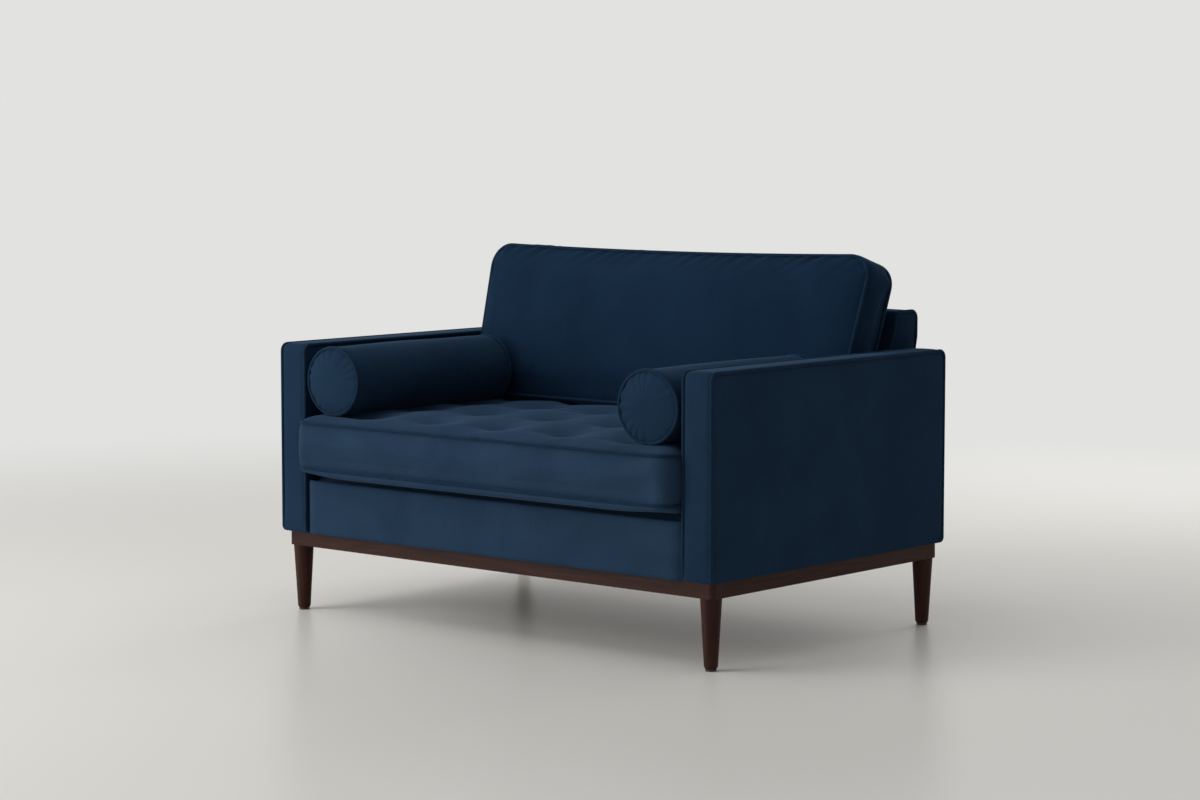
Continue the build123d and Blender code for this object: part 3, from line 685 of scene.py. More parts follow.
@dataclass
class SewnCase:
    """A sewn case as one closed grid: a front face, a boxing strip and a rear face.

    Local places are (u across, v up, w from the front face to the rear face).
    """

    half_u: float
    half_v: float
    depth: float
    low_radius: float
    high_radius: float
    pitch: float
    kept_u: tuple[float, ...] = ()
    kept_w: tuple[float, ...] = ()

    SLOT_HALF = 13 * MM              # half of the width of a zip's slot
    SLOT_SINK = 8 * MM
    SLOT_SPARE = 2 * MM              # room past either end of the zip
    SLOT_LIP = (5 * MM, 4 * MM)      # cloth past its ends and sides that is held with it
    GATHER_START = 4 * MM            # gathers grow over this distance from the seam
    BOXING_GATHER = 0.5              # share of the gathers that the boxing shows

    def __post_init__(self) -> None:
        """Lays out the grid, its seams and its quads."""
        across = grid_lines(-self.half_u, self.half_u, self.pitch, self.kept_u)
        up = grid_lines(-self.half_v, self.half_v, self.pitch)
        self.levels = grid_lines(0.0, self.depth, self.pitch, self.kept_w)
        share_u, share_v = np.meshgrid(across / self.half_u, up / self.half_v, indexing="ij")
        self.share_u = share_u.ravel()
        self.share_v = share_v.ravel()
        u, v = self.rounded(self.share_u * self.half_u, self.share_v * self.half_v)
        self.face_count = len(u)
        grid = np.arange(self.face_count).reshape(len(across), len(up))
        rim = np.concatenate([grid[:-1, 0], grid[-1, :-1], grid[:0:-1, -1], grid[0, :0:-1]])
        count = len(rim)
        self.front_seam = rim
        self.rear_seam = rim + self.face_count
        rings = [rim]
        points = [np.column_stack([u, v, np.full_like(u, level)]) for level in (0.0, self.depth)]
        for k, level in enumerate(self.levels[1:-1]):
            rings.append(2 * self.face_count + k * count + np.arange(count))
            points.append(np.column_stack([u[rim], v[rim], np.full(count, level)]))
        rings.append(self.rear_seam)
        self.points = np.concatenate(points)
        self.rings = np.array(rings)

        cells = np.stack([grid[:-1, :-1], grid[1:, :-1], grid[1:, 1:], grid[:-1, 1:]], -1)
        cells = cells.reshape(-1, 4)
        quads = [cells[:, ::-1], cells + self.face_count]
        for low, high in zip(rings, rings[1:]):
            quads.append(np.column_stack([low, np.roll(low, -1), np.roll(high, -1), high]))
        self.quads = np.concatenate(quads)
        self.rim = np.column_stack([u[rim], v[rim]])
        run = np.linalg.norm(np.roll(self.rim, -1, axis=0) - self.rim, axis=1)
        self.rim_along = np.concatenate([[0], np.cumsum(run)])[:-1]
        self.rim_length = float(run.sum())
        step = np.roll(self.rim, -1, axis=0) - np.roll(self.rim, 1, axis=0)
        step /= np.linalg.norm(step, axis=1)[:, None]
        self.rim_out = np.column_stack([step[:, 1], -step[:, 0]])
        gap = np.linalg.norm(np.column_stack([u, v])[:, None] - self.rim[None], axis=2)
        self.nearest = gap.argmin(1)
        self.face_gap = gap.min(1)

    def rounded(self, u: np.ndarray, v: np.ndarray) -> tuple[np.ndarray, np.ndarray]:
        """Draws the corners of the square grid in to the case's rounded outline.

        Args:
            u: places across.
            v: places up.

        Returns:
            The places with their corners rounded.
        """
        radius = np.where(v < 0, self.low_radius, self.high_radius)
        s = np.clip((np.abs(u) - (self.half_u - radius)) / radius, 0, 1)
        t = np.clip((np.abs(v) - (self.half_v - radius)) / radius, 0, 1)
        corner = (s > 0) & (t > 0)
        new_u = np.sign(u) * (self.half_u - radius + radius * s * np.sqrt(1 - t * t / 2))
        new_v = np.sign(v) * (self.half_v - radius + radius * t * np.sqrt(1 - s * s / 2))
        return np.where(corner, new_u, u), np.where(corner, new_v, v)

    def face_points(self, rear: bool) -> slice:
        """The range of a face's vertices, its seam included."""
        return slice(self.face_count, 2 * self.face_count) if rear else slice(0, self.face_count)

    def raise_face(self, rear: bool, lift: np.ndarray) -> None:
        """Moves a face outwards."""
        self.points[self.face_points(rear), 2] += lift if rear else -lift

    def crown_face(self, rear: bool, height: float, edge: float = 0.0) -> None:
        """Fills a face to a stuffed crown."""
        across = edge + (height - edge) * fullness(self.share_u)
        self.raise_face(rear, across * fullness(self.share_v))

    def round_face(self, rear: bool, height: np.ndarray | float, reach: float) -> None:
        """Rounds a face over from its seam, then leaves it flat."""
        self.raise_face(rear, height * (1 - np.exp(-self.face_gap / reach)))

    def swell_rim(self, rear: bool, height: np.ndarray, reach: float) -> None:
        """Swells a face outwards past its seam, most at one distance from it.

        Args:
            rear: the rear face instead of the front one.
            height: how far each point swells at most.
            reach: the distance from the seam that swells most.
        """
        share = self.face_gap / reach
        out = height * share ** 3 * np.exp(3 - 3 * share)
        self.points[self.face_points(rear), :2] += self.rim_out[self.nearest] * out[:, None]

    def bulge_boxing(self, height: float) -> None:
        """Rounds the boxing strip outwards between its seams."""
        for ring, level in zip(self.rings[1:-1], self.levels[1:-1]):
            share = 1 - (2 * level / self.depth - 1) ** 4
            self.points[ring, :2] += self.rim_out * height * share

    def pinch(self, draw: float, reach: float = 6.5 * MM,
              strength: np.ndarray | float = 1.0) -> None:
        """Draws both seams in, so that the cloth falls into a groove beside the piping.

        Args:
            draw: how far the seams go in.
            reach: the groove's half width.
            strength: share of the draw at each point of the rim.
        """
        draws = draw * strength * np.ones(len(self.rim))
        for rear in (False, True):
            self.raise_face(rear, -draws[self.nearest] * bell(self.face_gap, reach))
        for ring, level in zip(self.rings, self.levels):
            near = min(level, self.depth - level)
            self.points[ring, :2] -= self.rim_out * draws[:, None] * bell(near, reach)

    def gather(self, height: float, reach: float, wave: float, seed: int,
               strength: np.ndarray | float = 1.0, slant: float = 0.4) -> None:
        """Adds small gathers that start at both seams and die out away from them.

        Args:
            height: the deepest gather.
            reach: how far the gathers run.
            wave: usual distance between gathers.
            seed: fixes the pattern.
            strength: share of the height at each point of the rim.
            slant: how far the gathers lean along the seam as they run in.
        """
        strength = strength * np.ones(len(self.rim))
        for rear in (False, True):
            lean = self.rim_along[self.nearest] + slant * self.face_gap
            folds = ripple(lean, self.rim_length, wave, seed + rear) * strength[self.nearest]
            start = np.clip(self.face_gap / self.GATHER_START, 0, 1)
            fade = np.exp(-self.face_gap / reach) * start
            self.raise_face(rear, height * fade * folds)
        low, high = (ripple(self.rim_along, self.rim_length, wave, seed + k) * strength
                     for k in (2, 3))
        for ring, level in zip(self.rings[1:-1], self.levels[1:-1]):
            back = self.depth - level
            amount = low * math.exp(-level / reach) + high * math.exp(-back / reach)
            self.points[ring, :2] += self.rim_out * (self.BOXING_GATHER * height * amount)[:, None]

    @staticmethod
    def slot_lines(length: float, level: float) -> tuple[tuple[float, ...], tuple[float, ...]]:
        """Grid lines that a zip's slot needs, along it and across it."""
        ends = [length / 2 + d * MM for d in (1, 4)]     # just inside and outside its ends
        sides = (-15, -12.5, 12.5, 15)                   # and its sides
        return (-ends[1], -ends[0], *ends), tuple(level + d * MM for d in sides)

    def slot(self, upper: bool, length: float, level: float) -> np.ndarray:
        """Sinks a straight slot for a zip into the upper or lower run of the boxing.

        Args:
            upper: the upper run instead of the lower one.
            length: the zip's length.
            level: the middle of the slot, from the front seam.

        Returns:
            The vertices of the slot and its lips.
        """
        half = length / 2 + self.SLOT_SPARE
        straight = 0.99              # the run's corners are left out
        run = self.rim_out[:, 1] > straight if upper else self.rim_out[:, 1] < -straight
        inside = np.flatnonzero(run & (np.abs(self.rim[:, 0]) < half))
        lips = np.flatnonzero(run & (np.abs(self.rim[:, 0]) < half + self.SLOT_LIP[0]))
        kept = []
        for ring, place in zip(self.rings, self.levels):
            if abs(place - level) < self.SLOT_HALF:
                self.points[ring[inside], :2] -= self.rim_out[inside] * self.SLOT_SINK
            if abs(place - level) < self.SLOT_HALF + self.SLOT_LIP[1]:
                kept.append(ring[lips])
        return np.concatenate(kept)


@dataclass(frozen=True)
class Stuffing:
    """Fills a sewn case in the cloth solver, with its seams held."""

    pressure: float = 4.0
    slack: float = 0.004
    stretch: float = 18.0
    bend: float = 8.0
    soft_hold: float = 0.35
    frames: int = 20
    cap: float = 10 * MM             # no vertex moves further than this
    rounds: int = 3

    def fill(self, obj: Piece, held: np.ndarray,
             soft_held: np.ndarray | None = None) -> np.ndarray:
        """Args:
            obj: the case.
            held: vertices that stay where they are, such as seams.
            soft_held: vertices that are only drawn towards their place, such as beside tufts.

        Returns:
            The places of the case's vertices.
        """
        start = points_of(obj.data)
        group = obj.vertex_groups.new(name="held")
        group.add([int(i) for i in held], 1.0, "REPLACE")
        if soft_held is not None:
            group.add([int(i) for i in soft_held], self.soft_hold, "ADD")
        move = self.evened(obj, self.swollen(obj, group.name) - start, held)
        obj.vertex_groups.remove(group)
        far = np.linalg.norm(move, axis=1)
        scale = self.cap * np.tanh(far / self.cap) / np.maximum(far, 1e-9)
        LOG.info("%s swelled by %.1f mm at most, %.1f mm on average", obj.name,
                 far.max() / MM, far.mean() / MM)
        return start + move * scale[:, None]

    def swollen(self, obj: Piece, group: str) -> np.ndarray:
        """Runs the cloth solver on the case.

        Args:
            obj: the case.
            group: the vertex group that is held.

        Returns:
            The places of its vertices at the last frame.
        """
        cloth = obj.modifiers.new("stuffing", "CLOTH")
        wanted = {
            "quality": 6, "mass": 0.3, "air_damping": 5.0, "tension_stiffness": self.stretch,
            "compression_stiffness": self.stretch, "shear_stiffness": self.stretch / 3,
            "bending_stiffness": self.bend, "use_pressure": True,
            "uniform_pressure_force": self.pressure, "shrink_min": -self.slack,
            "vertex_group_mass": group, "pin_stiffness": 1.0}
        for name, value in wanted.items():
            setattr(cloth.settings, name, value)
        cloth.settings.effector_weights.gravity = 0.0
        cloth.collision_settings.use_collision = False
        cloth.collision_settings.use_self_collision = False
        cloth.point_cache.frame_start = 1
        cloth.point_cache.frame_end = self.frames
        scene = bpy.context.scene
        for number in range(1, self.frames + 1):
            scene.frame_set(number)
        result = obj.evaluated_get(bpy.context.evaluated_depsgraph_get())
        end = points_of(result.to_mesh())
        result.to_mesh_clear()
        obj.modifiers.remove(cloth)
        scene.frame_set(1)
        return end

    def evened(self, obj: Piece, move: np.ndarray, held: np.ndarray) -> np.ndarray:
        """Evens out how far neighbouring vertices move, as a lining under the cloth does.

        Args:
            obj: the case.
            move: how far each vertex moves.
            held: vertices that stay where they are.

        Returns:
            The evened moves.
        """
        edges = np.array([edge.vertices for edge in obj.data.edges])
        count = np.bincount(edges.ravel(), minlength=len(move))[:, None]
        for _ in range(self.rounds):
            total = np.zeros_like(move)
            np.add.at(total, edges[:, 0], move[edges[:, 1]])
            np.add.at(total, edges[:, 1], move[edges[:, 0]])
            move = 0.5 * move + 0.5 * total / count
            move[held] = 0
        return move


@dataclass(frozen=True)
class Piped:
    """Sizes that every piped seam shares."""

    radius: float = 3.9 * MM
    proud: float = 2.2 * MM
    step: float = 6 * MM

    @property
    def sink(self) -> float:
        """How far the cord's middle lies behind the faces beside it."""
        return self.radius - self.proud


PIPED = Piped()


class Sweep:
    """A geometry node tree that shapes a piece from its lines or flat parts."""

    def __init__(self, name: str, given: str, made: str, inputs: dict[str, str]) -> None:
        """Makes the tree and its sockets.

        Args:
            name: the tree's name.
            given: name of the geometry that comes in.
            made: name of the geometry that goes out.
            inputs: names of the other inputs, each with its kind.
        """
        self.tree = bpy.data.node_groups.new(name, "GeometryNodeTree")
        face = self.tree.interface
        face.new_socket(name=given, in_out="INPUT", socket_type="NodeSocketGeometry")
        self.ids = {}
        for word, kind in inputs.items():
            socket = face.new_socket(name=word, in_out="INPUT", socket_type=f"NodeSocket{kind}")
            self.ids[word] = socket.identifier
        face.new_socket(name=made, in_out="OUTPUT", socket_type="NodeSocketGeometry")

    def run(self, obj: Piece, values: dict[str, object]) -> Piece:
        """Runs the tree on a piece and keeps the result as its plain mesh.

        Args:
            obj: the piece.
            values: what the tree's other inputs get.

        Returns:
            The same object.
        """
        work = obj.modifiers.new(self.tree.name, "NODES")
        work.node_group = self.tree
        for word, value in values.items():
            work[self.ids[word]] = value
        return settle(obj)


class SeamPiping(Sweep):
    """Fabric-covered cord that runs along sewn seams, swept by a node tree."""

    SIDES = 12

    def __init__(self) -> None:
        """Builds the tree: a seam line becomes a curve, and a ring is swept along it."""
        super().__init__("piped seam", "Seam", "Piping", {"Radius": "Float", "Cloth": "Material"})
        tree = self.tree
        given = add_node(tree, "NodeGroupInput").outputs
        line = add_node(tree, "GeometryNodeMeshToCurve", {"Mesh": given["Seam"]})
        ring = add_node(tree, "GeometryNodeCurvePrimitiveCircle", {
            "Resolution": self.SIDES, "Radius": given["Radius"]})
        cord = add_node(tree, "GeometryNodeCurveToMesh", {
            "Curve": line.outputs[0], "Profile Curve": ring.outputs["Curve"], "Fill Caps": True})
        smooth = add_node(tree, "GeometryNodeSetShadeSmooth", {"Geometry": cord.outputs[0]})
        real = add_node(tree, "GeometryNodeRealizeInstances", {"Geometry": smooth.outputs[0]})
        dressed = add_node(tree, "GeometryNodeSetMaterial", {
            "Geometry": real.outputs[0], "Material": given["Cloth"]})
        add_node(tree, "NodeGroupOutput", {"Piping": dressed.outputs[0]})

    def sew(self, name: str, paths: list[np.ndarray], body: str, node: str, closed: bool = True,
            radius: float = PIPED.radius) -> None:
        """Makes the piping of one or more seams as one piece.

        Args:
            name: the piece's name.
            paths: the seams' lines.
            body: the body that it moves with.
            node: the node that it stands for.
            closed: whether each line returns to its start.
            radius: the piping's radius.
        """
        edges = []
        base = 0
        for path in paths:
            last = base + len(path) - 1
            edges += [(i, i + 1) for i in range(base, last)]
            if closed:
                edges.append((last, base))
            base = last + 1
        mesh = bpy.data.meshes.new(name)
        mesh.from_pydata(np.concatenate(paths).tolist(), edges, [])
        piped = self.run(link(name, mesh), {"Radius": radius, "Cloth": PIPING_VELVET_PAINTED_SHADE.material()})
        hand_over(piped, body, "velvet_piping", node)


class ZipChain(Sweep):
    """A nylon coil zip: two meshing rows of teeth on a woven tape, repeated by a node tree."""

    PITCH = 2.4 * MM
    TOOTH_SIDES = 8
    TOOTH_RADIUS = 0.9 * MM
    TOOTH_LENGTH = 3.4 * MM
    TAPE_HALF = 12 * MM
    TAPE = 1.0 * MM
    FACE = 7 * MM                    # the tape lies this far below the cover's face
    INSET = 3 * MM                   # the teeth stop this far before the tape's ends

    def __init__(self) -> None:
        """Builds the tree: teeth stand in turn on either side of a line, beside the tape."""
        super().__init__("coil zip", "Tape", "Zip", {
            "Start": "Vector", "End": "Vector", "Aside": "Vector", "Turn": "Float",
            "Cloth": "Material", "Coil": "Material"})
        tree = self.tree
        given = add_node(tree, "NodeGroupInput").outputs
        line = add_node(tree, "GeometryNodeCurvePrimitiveLine", {
            "Start": given["Start"], "End": given["End"]})
        spots = add_node(tree, "GeometryNodeCurveToPoints", {
            "Curve": line.outputs[0], "Length": self.PITCH}, mode="LENGTH")
        number = add_node(tree, "GeometryNodeInputIndex").outputs[0]
        side = maths(tree, "MULTIPLY_ADD", maths(tree, "MODULO", number, 2.0), 2.0, -1.0)
        aside = add_node(tree, "ShaderNodeVectorMath", {
            0: given["Aside"], "Scale": side}, operation="SCALE")
        rows = add_node(tree, "GeometryNodeSetPosition", {
            "Geometry": spots.outputs["Points"], "Offset": aside.outputs[0]})
        tooth = add_node(tree, "GeometryNodeMeshCylinder", {
            "Vertices": self.TOOTH_SIDES, "Radius": self.TOOTH_RADIUS, "Depth": self.TOOTH_LENGTH})
        turn = add_node(tree, "ShaderNodeCombineXYZ", {"X": given["Turn"]})
        teeth = add_node(tree, "GeometryNodeInstanceOnPoints", {
            "Points": rows.outputs[0], "Instance": tooth.outputs["Mesh"],
            "Rotation": turn.outputs[0]})
        real = add_node(tree, "GeometryNodeRealizeInstances", {"Geometry": teeth.outputs[0]})
        coil = add_node(tree, "GeometryNodeSetMaterial", {
            "Geometry": real.outputs[0], "Material": given["Coil"]})
        tape = add_node(tree, "GeometryNodeSetMaterial", {
            "Geometry": given["Tape"], "Material": given["Cloth"]})
        both = add_node(tree, "GeometryNodeJoinGeometry", {"Geometry": tape.outputs[0]})
        tree.links.new(coil.outputs[0], both.inputs["Geometry"])
        add_node(tree, "NodeGroupOutput", {"Zip": both.outputs[0]})

    def sew(self, body: str, face: np.ndarray, out: np.ndarray, length: float) -> None:
        """Makes a cushion's zip, at the bottom of its slot.

        Args:
            body: the cushion.
            face: the middle of the cover's face over the slot.
            out: the way that the face looks.
            length: the zip's length.
        """
        along = np.array([length / 2, 0.0, 0.0])
        aside = np.cross(out, [1.0, 0.0, 0.0])
        base = face - out * self.FACE
        corners = [base + sx * along + sa * aside * self.TAPE_HALF + up * out * self.TAPE
                   for sx in (-1, 1) for sa in (-1, 1) for up in (0, 1)]
        sides = [(0, 1, 3, 2), (4, 6, 7, 5), (0, 4, 5, 1),
                 (2, 3, 7, 6), (0, 2, 6, 4), (1, 5, 7, 3)]
        tape = new_piece(f"{body}_coil_zip", np.array(corners), sides, closed=True)
        tape.data.polygons.foreach_set("use_smooth", [False] * len(sides))
        middle = base + out * (self.TAPE + self.TOOTH_RADIUS)
        inset = np.array([self.INSET, 0.0, 0.0])
        chain = self.run(tape, {
            "Start": tuple(middle - along + inset), "End": tuple(middle + along - inset),
            "Aside": tuple(aside * self.TOOTH_LENGTH / 4),
            "Turn": math.atan2(-aside[1], aside[2]),
            "Cloth": ZIP_TAPE.material(), "Coil": ZIP_COIL.material()})
        hand_over(chain, body, "zip_chain", f"{body}_zip")


@dataclass
class Arm:
    """A box arm: side panels and one strip over its front, top and rear, with piped seams."""

    side: Side
    piping: SeamPiping
    corner: float = 18 * MM
    foot: float = 8 * MM
    pitch: float = 10 * MM
    side_puff: float = 2.6 * MM
    strip_puff: float = 2.0 * MM
    gathers: tuple[float, float, float] = (0.5 * MM, 18 * MM, 34 * MM)   # height, reach, wave
    swell: float = 0.7 * MM
    swell_size: float = 300 * MM
    seam_draw: float = 4.6 * MM
    seam_fade: float = 60 * MM       # the seam's groove fades in over this height from the foot

    def __post_init__(self) -> None:
        """Takes the arm's place from the frame."""
        self.low, self.high = node_box(f"{self.side.word}_arm_cover")
        self.middle = (self.low + self.high) / 2
        self.outer = self.high[0] if self.side is Side.RIGHT else self.low[0]

    def place(self, local: np.ndarray) -> np.ndarray:
        """Row-frame places of local ones: u runs to the rear, v up and w inwards."""
        x = self.outer - self.side.value * local[:, 2]
        return np.column_stack([x, self.middle[1] + local[:, 0], self.middle[2] + local[:, 1]])

    def build(self) -> None:
        """Makes the arm's cover and its piping."""
        half = (self.high - self.low) / 2
        case = SewnCase(half[1], half[2], 2 * half[0], self.foot, self.corner, self.pitch)
        case.crown_face(False, self.side_puff, self.side_puff / 2)
        case.bulge_boxing(self.strip_puff)
        case.gather(*self.gathers, SEED + self.side.value)
        above = np.clip((case.rim[:, 1] + half[2]) / self.seam_fade, 0, 1)
        case.pinch(self.seam_draw, strength=above)
        wander = drift(case.points[case.face_points(False)], self.swell_size, SEED + 5)
        wander *= fullness(case.share_u) * fullness(case.share_v)
        case.raise_face(False, self.swell * wander)
        points = self.place(case.points)
        points[:, 2] = np.maximum(points[:, 2], self.low[2])
        name = f"{self.side.word}_arm"
        cover = new_piece(f"{name}_velvet", points, case.quads.tolist(), VELVET_ASIDE_PAINTED_SHADE, closed=True)
        finer(cover)
        upholster(cover, "frame", 0.9, f"{name}_cover")

        u, v = half[1] - PIPED.sink, half[2] - PIPED.sink
        under, low = u - 2 * self.foot, PIPED.radius - half[2]
        bend = self.corner - PIPED.sink
        path = rounded_path([(-under, low), (-u, low), (-u, v), (u, v), (u, low), (under, low)],
                            [0, self.foot, bend, bend, self.foot, 0], PIPED.step, closed=False)
        levels = (PIPED.sink, 2 * half[0] - PIPED.sink)
        seams = [self.place(at_level(path, level)) for level in levels]
        self.piping.sew(f"{name}_piping_cord", seams, "frame", f"{name}_piping", closed=False)


def swept_panel(name: str, profiles: list[np.ndarray], closed: bool, finish: Finish,
                puff: Rule) -> Piece:
    """A cover panel run across the sofa through side-view profiles.

    Args:
        name: the piece's name.
        profiles: the rows of points of each profile, from left to right.
        closed: whether the profiles close and the ends are filled.
        finish: what it is made of.
        puff: moves the points to their padded places.

    Returns:
        The panel.
    """
    count = len(profiles[0])
    faces = []
    runs = count if closed else count - 1
    for i in range(len(profiles) - 1):
        for j in range(runs):
            k = (j + 1) % count
            faces.append((i * count + j, i * count + k, (i + 1) * count + k, (i + 1) * count + j))
    if closed:
        last = (len(profiles) - 1) * count
        faces += [tuple(range(count)), tuple(range(last, last + count))]
    return new_piece(name, puff(np.concatenate(profiles)), faces, finish, closed=closed)


@dataclass
class BackRest:
    """The fixed back rest between the arms: a leaning wedge with piped ends."""

    piping: SeamPiping
    top_depth: float = 78.4 * MM
    foot_depth: float = 178.4 * MM
    foot_gap: float = 0.3 * MM       # the foot stands clear of the deck cloth
    rear_radius: float = 19 * MM
    front_radius: float = 12 * MM
    pitch: float = 9 * MM
    puff: float = 3.0 * MM
    top_puff: float = 1.5 * MM
    panel: float = 0.96              # the rear panel's share of the height
    swell: float = 0.6 * MM
    swell_size: float = 250 * MM
    spread: float = 4 * MM           # the ends swell outwards above the arms
    spread_rise: tuple[float, float] = (3 * MM, 25 * MM)   # where that starts, and its growth
    spread_reach: float = 120 * MM   # how far in from the ends it goes

    # Millimetres in from either end, and how far the outline is drawn in there.
    END_STEPS = ((-2, 11), (0, 7), (3, 3), (6, 1.2), (12, 0))
    SKIN = 1 * MM                    # points this near to a face belong to it

    def build(self) -> None:
        """Makes the cover and the piping of both ends."""
        low, high = node_box("back_cover")
        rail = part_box("seat_rear_rail")[1][1]
        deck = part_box("deck_cover")[1][2] + self.foot_gap
        rear, top = high[1], high[2]
        arm_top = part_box("right_arm_cover")[1][2]

        def swelled(points: np.ndarray) -> np.ndarray:
            """Lets the ends swell outwards where the arms no longer hold them.

            Args:
                points: the panel's places, which are moved.

            Returns:
                The same rows.
            """
            start, growth = self.spread_rise
            free = np.clip((points[:, 2] - arm_top - start) / growth, 0, 1)
            near = np.clip(1 - (high[0] - np.abs(points[:, 0])) / self.spread_reach, 0, 1)
            points[:, 0] += np.sign(points[:, 0]) * self.spread * free * near ** 2
            return points

        corners = [(rear, low[2]), (rear, top), (rear - self.top_depth, top),
                   (rear - self.foot_depth, deck), (rail, deck), (rail, low[2])]
        radii = [0, self.rear_radius, self.front_radius, 0, 0, 0]
        profile = rounded_path(corners, radii, self.pitch)
        step = np.roll(profile, -1, axis=0) - np.roll(profile, 1, axis=0)
        inward = np.column_stack([-step[:, 1], step[:, 0]]) / np.linalg.norm(step, axis=1)[:, None]
        ends = [(high[0] - inset * MM, draw * MM) for inset, draw in self.END_STEPS]
        inner = ends[-1][0]
        between = np.linspace(-inner, inner, round(inner / self.pitch) + 1)[1:-1]
        columns = [(-x, draw) for x, draw in ends] + [(x, 0.0) for x in between] + ends[::-1]
        profiles = [across_at(x, profile + inward * draw) for x, draw in columns]

        def padded(points: np.ndarray) -> np.ndarray:
            """Rounds the rear panel and the top a little.

            Args:
                points: the panel's places, which are moved.

            Returns:
                The same rows.
            """
            across = fullness(points[:, 0] / high[0])
            up = (points[:, 2] - low[2]) / (top - low[2])
            behind = (points[:, 1] > rear - self.SKIN) & (up < self.panel)
            points[:, 1] += np.where(behind, self.puff * across * fullness(2 * up - 1), 0)
            uneven = self.swell * across * drift(points, self.swell_size, SEED + 9)
            points[:, 1] += np.where(behind, uneven, 0)
            above = points[:, 2] > top - self.SKIN
            points[:, 2] += np.where(above, self.top_puff * across, 0)
            return swelled(points)

        cover = swept_panel("back_rest_velvet", profiles, True, VELVET_DOWN_PAINTED_SHADE, padded)
        upholster(cover, "frame", 0.9, "back_cover")

        sink = PIPED.sink
        slope = (self.foot_depth - self.top_depth) / (top - deck)
        shift = sink * math.hypot(1, slope)
        line = rounded_path([(rear - self.foot_depth + shift, deck + sink),
                             (rear - self.top_depth + shift, top - sink),
                             (rear - sink, top - sink), (rear - sink, low[2])],
                            [0, self.front_radius - sink, self.rear_radius - sink, 0],
                            PIPED.step, closed=False)
        seams = [swelled(across_at(side.value * (high[0] - sink), line)) for side in Side]
        self.piping.sew("back_rest_piping_cord", seams, "frame", "back_piping", closed=False)


@dataclass
class SeatBox:
    """The fixed parts round the seat: front panel, deck cloth and dust cloth."""

    nose: float = 5 * MM
    turn: float = 30 * MM            # how far behind the face the padding's shape dies out
    end_draw: float = 10 * MM
    end_reach: float = 11 * MM
    cloth: float = 2.5 * MM
    pitch: float = 8 * MM
    puff: float = 3.0 * MM
    puff_power: float = 0.8          # below 1, the puff stays full further up and down
    uneven: float = 0.25             # share by which puff and sag vary
    uneven_size: float = 300 * MM
    nose_drop: float = 9 * MM        # the edge roll lies below the deck behind it
    gutter: tuple[float, float] = (20 * MM, 22 * MM)   # place and depth, behind the roll
    deck_sag: float = 2 * MM
    dust_sag: float = 4 * MM
    sheet_pitch: float = 30 * MM
    ripple_size: float = 180 * MM

    def build(self) -> None:
        """Makes the three pieces."""
        self.front_panel()
        self.cloth_sheet("deck_platform_cloth", "deck_cover", "deck_cloth", DECK_CLOTH,
                         self.deck_sag)
        self.cloth_sheet("dust_cloth_sheet", "dust_cover", "dust_cloth", DUST_CLOTH,
                         self.dust_sag)

    def front_panel(self) -> None:
        """Velvet panel below the seat cushion, turned back over an edge roll to the deck."""
        low, high = node_box("front_panel_cover")
        half = self.cloth / 2
        top = high[2] - half
        face_y = low[1] + half
        line = rounded_path([(face_y, low[2]), (face_y, top - self.nose_drop),
                             (face_y + self.gutter[0], top - self.gutter[1]), (high[1], top)],
                            [0, self.nose, self.nose, 0], self.pitch, closed=False)
        xs = grid_lines(low[0], high[0], 1.5 * self.pitch)

        def padded(points: np.ndarray) -> np.ndarray:
            """Rounds the panel forwards and its ends back, with a little unevenness.

            Args:
                points: the panel's places, which are moved.

            Returns:
                The same rows.
            """
            up = np.clip((points[:, 2] - low[2]) / (high[2] - low[2]), 0, 1)
            face = np.clip(1 - (points[:, 1] - face_y) / self.turn, 0, 1)
            across = fullness(points[:, 0] / high[0])
            end = bell(high[0] - np.abs(points[:, 0]), self.end_reach)
            uneven = 1 + self.uneven * drift(points, self.uneven_size, SEED + 12)
            rise = np.sin(math.pi * up) ** self.puff_power
            points[:, 1] -= self.puff * across * face * rise * uneven
            points[:, 1] += self.end_draw * end * face
            return points

        profiles = [across_at(x, line) for x in xs]
        panel = swept_panel("front_panel_velvet", profiles, False, VELVET, padded)
        self.thicken(panel, self.cloth)
        upholster(panel, "frame", 0.9, "front_panel_cover", "front_panel_padding")

    @staticmethod
    def thicken(obj: Piece, cloth: float) -> None:
        """Gives a flat panel the thickness of its cloth.

        Args:
            obj: the panel.
            cloth: the thickness.
        """
        wall = obj.modifiers.new("cloth", "SOLIDIFY")
        wall.thickness = cloth
        wall.offset = 0
        settle(obj)

    def cloth_sheet(self, name: str, node: str, slot: str, finish: Finish, sag: float) -> None:
        """A stretched cloth that hangs a little in its middle.

        Args:
            name: the piece's name.
            node: the node that it stands for.
            slot: the record's material slot.
            finish: what it is made of.
            sag: how far its middle hangs.
        """
        low, high = node_box(node)
        xs, ys = (np.linspace(low[k], high[k], round((high[k] - low[k]) / self.sheet_pitch) + 1)
                  for k in (0, 1))
        profile = at_level(ys[:, None], (low[2] + high[2]) / 2)

        def hung(points: np.ndarray) -> np.ndarray:
            """Lets the middle hang and ripples it slightly.

            Args:
                points: the panel's places, which are moved.

            Returns:
                The same rows.
            """
            across = points[:, 0] / high[0]
            deep = (2 * points[:, 1] - low[1] - high[1]) / (high[1] - low[1])
            share = np.clip(np.cos(across * math.pi / 2) * np.cos(deep * math.pi / 2), 0, 1)
            ripples = drift(points, self.ripple_size, SEED + 20)
            points[:, 2] -= share * (sag + self.uneven * sag * ripples)
            return points

        sheet = swept_panel(name, [across_at(x, profile) for x in xs], False, finish, hung)
        self.thicken(sheet, high[2] - low[2])
        hand_over(sheet, "frame", slot, node)


